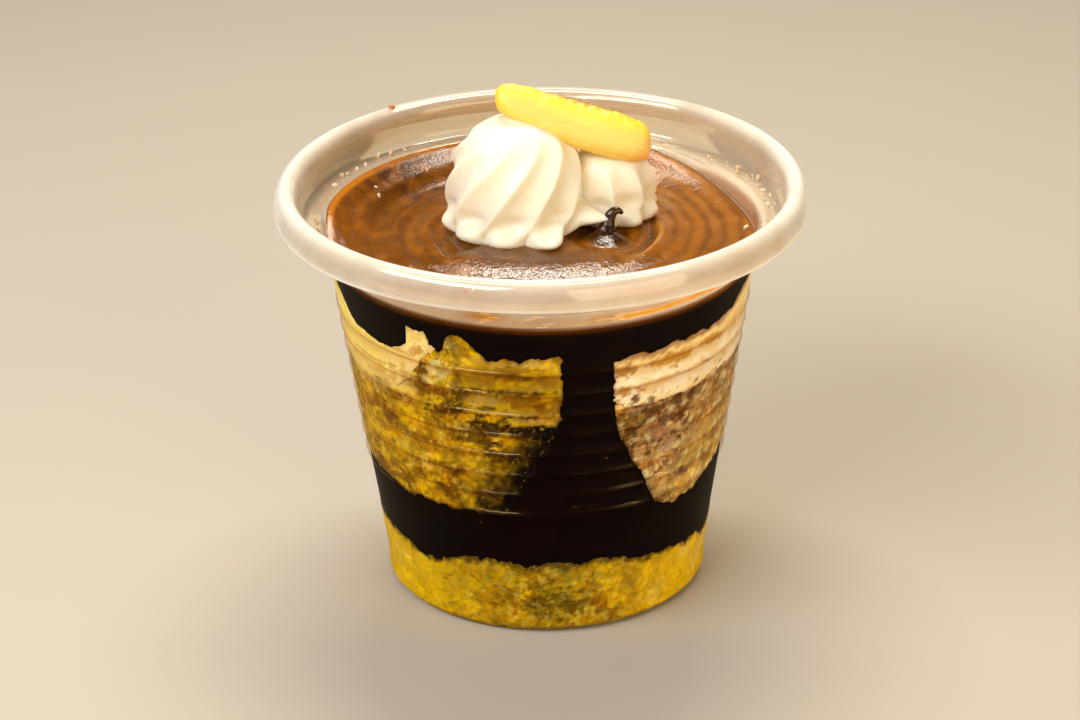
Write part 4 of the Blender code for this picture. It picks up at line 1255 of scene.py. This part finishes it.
def piped(
    name, place, radius, height, power, crests, depth,
    first_crest, twist, twist_power, largest_foot, bulb, reach=None,
):
    """Star-piped cream: sharp crests with round hollows between them, each ending in a soft foot."""
    obj = dome_blank(name, radius, height - UNDERSIDE_ROUNDING, power, STEPS_A_CREST * crests, PIPED_ROWS)
    flat_radius, az, z = to_polar(points_of(obj))
    rise = np.clip(z / height, 0, 1)
    wobble = 2.2 * rough(from_polar(np.full(len(az), 3.0), az, z * 0.15), 1.6, 2, radius)
    phase = np.radians(az - first_crest) * crests / 2
    wave = np.sqrt(np.sin(phase) ** 2 + 0.012) - 0.11
    hollow = depth * wave * smooth(1 - rise, 0.0, 0.35) * smooth(z, 1.2, 4.0)
    lobe = 1 + 0.5 * turned_bump(az, largest_foot, 24)
    foot = bump(z, 1.6, 1.8) * (1.9 * np.abs(np.sin(phase)) ** 0.7 - 1.3) * lobe
    foot += bulb * turned_bump(az, largest_foot, 12) * bump(z, 1.9, 1.9)
    pinch = -0.9 * bump(z, 4.4, 1.3) * np.abs(np.sin(phase)) * lobe
    share = np.clip(flat_radius / radius, 0, 1)
    moved = flat_radius + (-hollow + foot + pinch) * share
    turn = az + twist * rise**twist_power + wobble * (1 - rise)
    if reach is not None:
        moved, z = reach(moved, turn, z, share)
    soft = 0.12 * rough(from_polar(moved, turn, z), 5.0, 2, radius + 3)
    points = from_polar(moved + soft * share, turn, z)
    place_points(obj, points + (*place, CHOCOLATE_LEVEL + PIPED_LIFT))
    return obj


def draw_tail(radius, az, z, share):
    """Lifts the cream's underside at the right and draws its pointed tail out of it."""
    lift = 2.3 * bump(az, 72, 26)
    low = 1 - smooth(z, 0.0, 12.0)
    z = z + lift * low
    radius = radius - 0.9 * bump(az, 70, 24) * (1 - smooth(z, 1.5, 4.0)) * share
    height = TAIL_HEIGHT - CHOCOLATE_LEVEL
    spread = np.hypot((az - TAIL_AZIMUTH) / 11.0, (z - height) / 2.0)
    spike = TAIL_LENGTH * np.clip(1 - spread, 0, 1)
    collar = 0.8 * np.exp(-(spread**2) / 2.2)
    return radius + (spike + collar) * share, z


def whipped_material(looks):
    """Satin whipped cream, lit through its thin parts."""
    material, tree, shader, place = new_material("whipped_cream")
    mottle = stretch(tree, noise_in(tree, place, 3.5, 3.0), 0.3, 0.7, 0.0, 0.35)
    set_inputs(tree, shader, {
        "Base Color": mix_colours(tree, mottle, looks.whipped, shade(255, 234, 202)), "Roughness": 0.42,
        "Subsurface Weight": 0.6, "Subsurface Radius": (1.0, 0.72, 0.42), "Subsurface Scale": 3.2 * MM,
    })
    raise_bumps(tree, shader, noise_in(tree, place, 0.45, 2.0), 0.02)
    return material


class DESSERT_OT_rosettes(bpy.types.Operator):
    """Models the large and the small piped rosette of whipped cream"""

    bl_idname = "dessert.rosettes"
    bl_label = "Whipped cream"

    def execute(self, context):
        looks = context.scene.dessert_topping
        material = whipped_material(looks)
        depth = looks.crest_depth / MM
        large = piped(
            "large_piped_cream", LARGE_PLACE, LARGE_RADIUS, LARGE_HEIGHT, 3, looks.crests, depth,
            first_crest=6.0, twist=75.0, twist_power=1.6, largest_foot=21.0, bulb=2.8, reach=draw_tail,
        )
        settle(large, "whipped_cream", material, replaces=["large_rosette"])
        small = piped(
            "small_piped_cream", SMALL_PLACE, SMALL_RADIUS, SMALL_HEIGHT, 4, looks.crests - 1, depth * 0.8,
            first_crest=52.0, twist=-16.0, twist_power=1.0, largest_foot=32.0, bulb=0.5,
        )
        settle(small, "whipped_cream", material, replaces=["small_rosette"])
        return {"FINISHED"}


def fruit_material():
    """Moist yellow flesh with faint fibres, riper towards its end."""
    material, tree, shader, place = new_material("yellow_fruit_flesh")
    tint = attribute(tree, "tint")
    values = {"Vector": place, "Rotation": (0, math.radians(18), 0), "Scale": (0.25, 1, 1)}
    along_slice = add(tree, "ShaderNodeMapping", values).outputs[0]
    fibres = noise_in(tree, along_slice, 0.55, 4.0, 0.6)
    streaked = mix_colours(tree, stretch(tree, fibres, 0.35, 0.65, 0.0, 0.22), tint, shade(255, 246, 150))
    mottle = stretch(tree, noise_in(tree, place, 2.4, 3.0), 0.4, 0.7, 0.0, 0.2)
    set_inputs(tree, shader, {
        "Base Color": mix_colours(tree, mottle, streaked, shade(255, 208, 40)), "Roughness": 0.38,
        "Subsurface Weight": 0.45, "Subsurface Radius": (1.0, 0.6, 0.15), "Subsurface Scale": 1.8 * MM,
    })
    raise_bumps(tree, shader, fibres, 0.1)
    return material


def fruit_cage(name):
    """A cage of rings along the slice: a flat face in front, a sharp upper edge and a round back."""
    deselect()
    corners = len(FRUIT_OUTLINE)
    upright = (0, math.pi / 2, 0)
    bpy.ops.mesh.primitive_circle_add(vertices=corners, radius=MM, fill_type="NGON", rotation=upright)
    obj = bpy.context.object
    obj.name = obj.data.name = name
    enter_edit(obj)
    for _ in FRUIT_SECTIONS[1:]:
        bpy.ops.mesh.extrude_region_move(TRANSFORM_OT_translate={"value": (MM, 0, 0)})
    leave_edit()
    close_mesh(obj)
    bpy.ops.object.transform_apply(location=True, rotation=True, scale=True)
    x, y, z = points_of(obj).T
    section = np.clip(np.round(x).astype(int), 0, len(FRUIT_SECTIONS) - 1)
    side = np.round(np.arctan2(y, z) / math.tau * corners).astype(int)
    back, up = np.array(FRUIT_OUTLINE)[side % corners].T
    x, y, z, half_height, half_depth = np.array(FRUIT_SECTIONS)[section].T
    place_points(obj, np.column_stack((x, y + back * half_depth, z + up * half_height)))
    return obj


class DESSERT_OT_fruit(bpy.types.Operator):
    """Models the slice of yellow fruit that lies on the cream"""

    bl_idname = "dessert.fruit"
    bl_label = "Fruit slice"

    def execute(self, context):
        looks = context.scene.dessert_topping
        fruit = fruit_cage("yellow_fruit_wedge")
        round_off(fruit, 4)
        points = points_of(fruit)
        x = points[:, 0]
        places, *columns = np.array(FRUIT_SECTIONS).T
        middle_y, middle_z, half_height = (np.interp(x, places, column) for column in columns[:3])
        out = points - np.column_stack((x, middle_y, middle_z))
        reach = np.linalg.norm(out, axis=1)[:, None] + 0.001
        up = out[:, 2] / half_height
        ridge = smooth(up, 0.72, 0.98)
        relief = 0.12 * rough(points * (1.0, 0.6, 0.6), 2.6, 3, 2.0)
        relief += 0.22 * ridge * rough(points * (1.0, 0.4, 0.4), 0.9, 2, 5.0)
        points = points + out / reach * relief[:, None]
        place_points(fruit, points)
        ripe = smooth(points[:, 0] - 1.1 * (points[:, 2] - 78), 13.0, 21.5)
        rim = np.maximum(smooth(up, 0.45, 0.9), smooth(-up, 0.35, 0.8))
        rim = np.maximum(rim, 1 - smooth(points[:, 0], -7.5, -3.5))
        tint = blend_colours(looks.fruit, shade(255, 214, 30), 0.75 * rim)
        tint = blend_colours(tint, looks.fruit_ripe, 0.9 * ripe)
        tint = wash(tint, (226, 140, 12), 0.8 * smooth(up, 0.9, 1.0) * smooth(points[:, 0], -2, 2))
        paint(fruit, "tint", tint)
        settle(fruit, "yellow_fruit", fruit_material(), replaces=["fruit_slice"])
        return {"FINISHED"}


# The loose crumbs.


def crumb_places(swirl_height):
    """Where the loose crumbs lie, most of them on the ledge: azimuth, radius, height, size, how orange."""
    chance = random.Random(12)
    places = []
    for low, high, count in LEDGE_CRUMBS:
        for _ in range(count):
            size = chance.choice(CRUMB_SIZES)
            az = chance.uniform(low, high)
            radius = chance.uniform(LEDGE_INNER + 0.9, LEDGE_OUTER + 0.8)
            places.append((az, radius, LEDGE_HEIGHT + 0.7 * size, size, chance.random() ** 2))
    for az, inwards, up, size, orange in RIM_CRUMBS:
        places.append((az, RIM_RADIUS - inwards, RIM_TOP + up, size, orange))
    for az, radius, size in CHOCOLATE_CRUMBS:
        level = CHOCOLATE_LEVEL + chocolate_relief(from_polar(radius, az, 0.0), swirl_height)[0]
        out = smooth(radius / filling_radius(CHOCOLATE_LEVEL), 0.8, 1.0)
        climb = (edge_height(az) - CHOCOLATE_LEVEL) * out
        places.append((az, radius, level + climb + 0.4 * size, size, 0.15))
    return places


class DESSERT_OT_crumbs(bpy.types.Operator):
    """Scatters the loose crumbs on the ledge, the rim and the chocolate"""

    bl_idname = "dessert.crumbs"
    bl_label = "Loose crumbs"

    def execute(self, context):
        looks = context.scene.dessert_filling
        deselect()
        bpy.ops.mesh.primitive_ico_sphere_add(subdivisions=3, radius=MM)
        first = context.object
        first.name = first.data.name = "loose_crumbs"
        unit = points_of(first)
        unit = unit * (1 + 0.45 * rough(unit, 0.9, 3, 5.0))[:, None]
        crumbs, tints = [first], []
        places = crumb_places(looks.swirl_height / MM)
        for index, (az, radius, height, size, orange) in enumerate(places):
            crumb = first
            if index:
                crumb = first.copy()
                crumb.data = first.data.copy()
                context.collection.objects.link(crumb)
                crumbs.append(crumb)
            turn = np.array(Euler((index * 1.3, index * 2.1, index * 0.7)).to_matrix())
            place_points(crumb, unit * (1.0, 0.75, 0.6) @ turn.T * size + from_polar(radius, az, height))
            tints += [blend_colours(shade(255, 240, 208), shade(232, 132, 30), [orange])[0]] * len(unit)
        join(*crumbs)
        paint(first, "tint", np.array(tints))
        weigh(first, "open", np.full(len(tints), 0.6))
        settle(first, "sponge", crumb_material("loose_crumb"))
        return {"FINISHED"}


# The stage.


def plain_material(name, colour, roughness):
    """A matt colour with a faint, broad grain."""
    material, tree, shader, place = new_material(name)
    darker = [value * 0.97 for value in colour]
    tint = mix_colours(tree, noise_in(tree, place, 40.0, 2.0), darker, colour)
    set_inputs(tree, shader, {"Base Color": tint, "Roughness": roughness})
    return material


def soft_light(name, place, target, size, power, colour):
    """Adds a rectangular light that faces a place."""
    deselect()
    bpy.ops.object.light_add(type="AREA", location=Vector(place) * MM)
    light = bpy.context.object
    light.name = name
    light.data.shape = "RECTANGLE"
    light.data.size, light.data.size_y = size[0] * MM, size[1] * MM
    light.data.energy = power
    light.data.color = colour
    aim = Vector(target) * MM - light.location
    light.rotation_euler = aim.to_track_quat("-Z", "Y").to_euler()


def photo_camera():
    """The camera at the photograph's place, aimed a little off the cup as there."""
    elevation = math.radians(CAMERA_ELEVATION)
    target = Vector(CAMERA_TARGET)
    place = target + CAMERA_DISTANCE * Vector((0, -math.cos(elevation), math.sin(elevation)))
    bpy.ops.object.camera_add(location=place * MM)
    camera = bpy.context.object
    camera.name = "photo_camera"
    look = (target - place).to_track_quat("-Z", "Y").to_matrix()
    aim = Euler((math.radians(AIM_UP), math.radians(-AIM_RIGHT), 0)).to_matrix()
    roll = Matrix.Rotation(math.radians(CAMERA_ROLL), 3, "Z")
    camera.rotation_euler = (look @ aim @ roll).to_euler()
    camera.data.lens = camera.data.sensor_width * FOCAL_PIXELS / PHOTO_WIDTH
    bpy.context.scene.camera = camera


class DESSERT_OT_stage(bpy.types.Operator):
    """Sets the pale floor, the soft lights and the camera"""

    bl_idname = "dessert.stage"
    bl_label = "Stage"

    def execute(self, context):
        deselect()
        bpy.ops.mesh.primitive_plane_add(size=FLOOR_SIZE * MM, location=(0, 0, 0))
        floor = context.object
        floor.name = "pale_floor"
        floor.data.materials.append(plain_material("pale_floor", FLOOR_COLOUR, 0.8))
        for light in LIGHTS:
            soft_light(*light)
        world = bpy.data.worlds.new("soft_room")
        context.scene.world = world
        world.use_nodes = True
        background = world.node_tree.nodes["Background"]
        set_inputs(world.node_tree, background, {"Color": ROOM_COLOUR, "Strength": ROOM_STRENGTH})
        photo_camera()
        context.scene.view_settings.view_transform = "Standard"
        return {"FINISHED"}


OPERATORS = (
    DESSERT_OT_stage,
    DESSERT_OT_cup,
    DESSERT_OT_sponge_base,
    DESSERT_OT_second_sponge,
    DESSERT_OT_cream_layer,
    DESSERT_OT_chocolate,
    DESSERT_OT_rosettes,
    DESSERT_OT_fruit,
    DESSERT_OT_crumbs,
)


class DESSERT_PT_panel(bpy.types.Panel):
    """Lists the pieces of the dessert"""

    bl_idname = "DESSERT_PT_panel"
    bl_label = "Chocolate cream cup"
    bl_space_type = "VIEW_3D"
    bl_region_type = "UI"
    bl_category = "Dessert"

    def draw(self, context):
        for operator in OPERATORS:
            self.layout.operator(operator.bl_idname)
        for group, looks in GROUPS.items():
            box = self.layout.box()
            for name in looks.__annotations__:
                box.prop(getattr(context.scene, group), name)


GROUPS = {"dessert_cup": CupLooks, "dessert_filling": FillingLooks, "dessert_topping": ToppingLooks}
CLASSES = (*GROUPS.values(), *OPERATORS, DESSERT_PT_panel)


def register():
    for kind in CLASSES:
        bpy.utils.register_class(kind)
    for group, looks in GROUPS.items():
        setattr(bpy.types.Scene, group, PointerProperty(type=looks))


def unregister():
    for group in GROUPS:
        delattr(bpy.types.Scene, group)
    for kind in reversed(CLASSES):
        bpy.utils.unregister_class(kind)


def main():
    register()
    bpy.ops.dessert.stage()
    bpy.ops.dessert.cup()
    bpy.ops.dessert.sponge_base()
    bpy.ops.dessert.second_sponge()
    bpy.ops.dessert.cream_layer()
    bpy.ops.dessert.chocolate()
    bpy.ops.dessert.rosettes()
    bpy.ops.dessert.fruit()
    bpy.ops.dessert.crumbs()


if __name__ == "__main__":
    main()
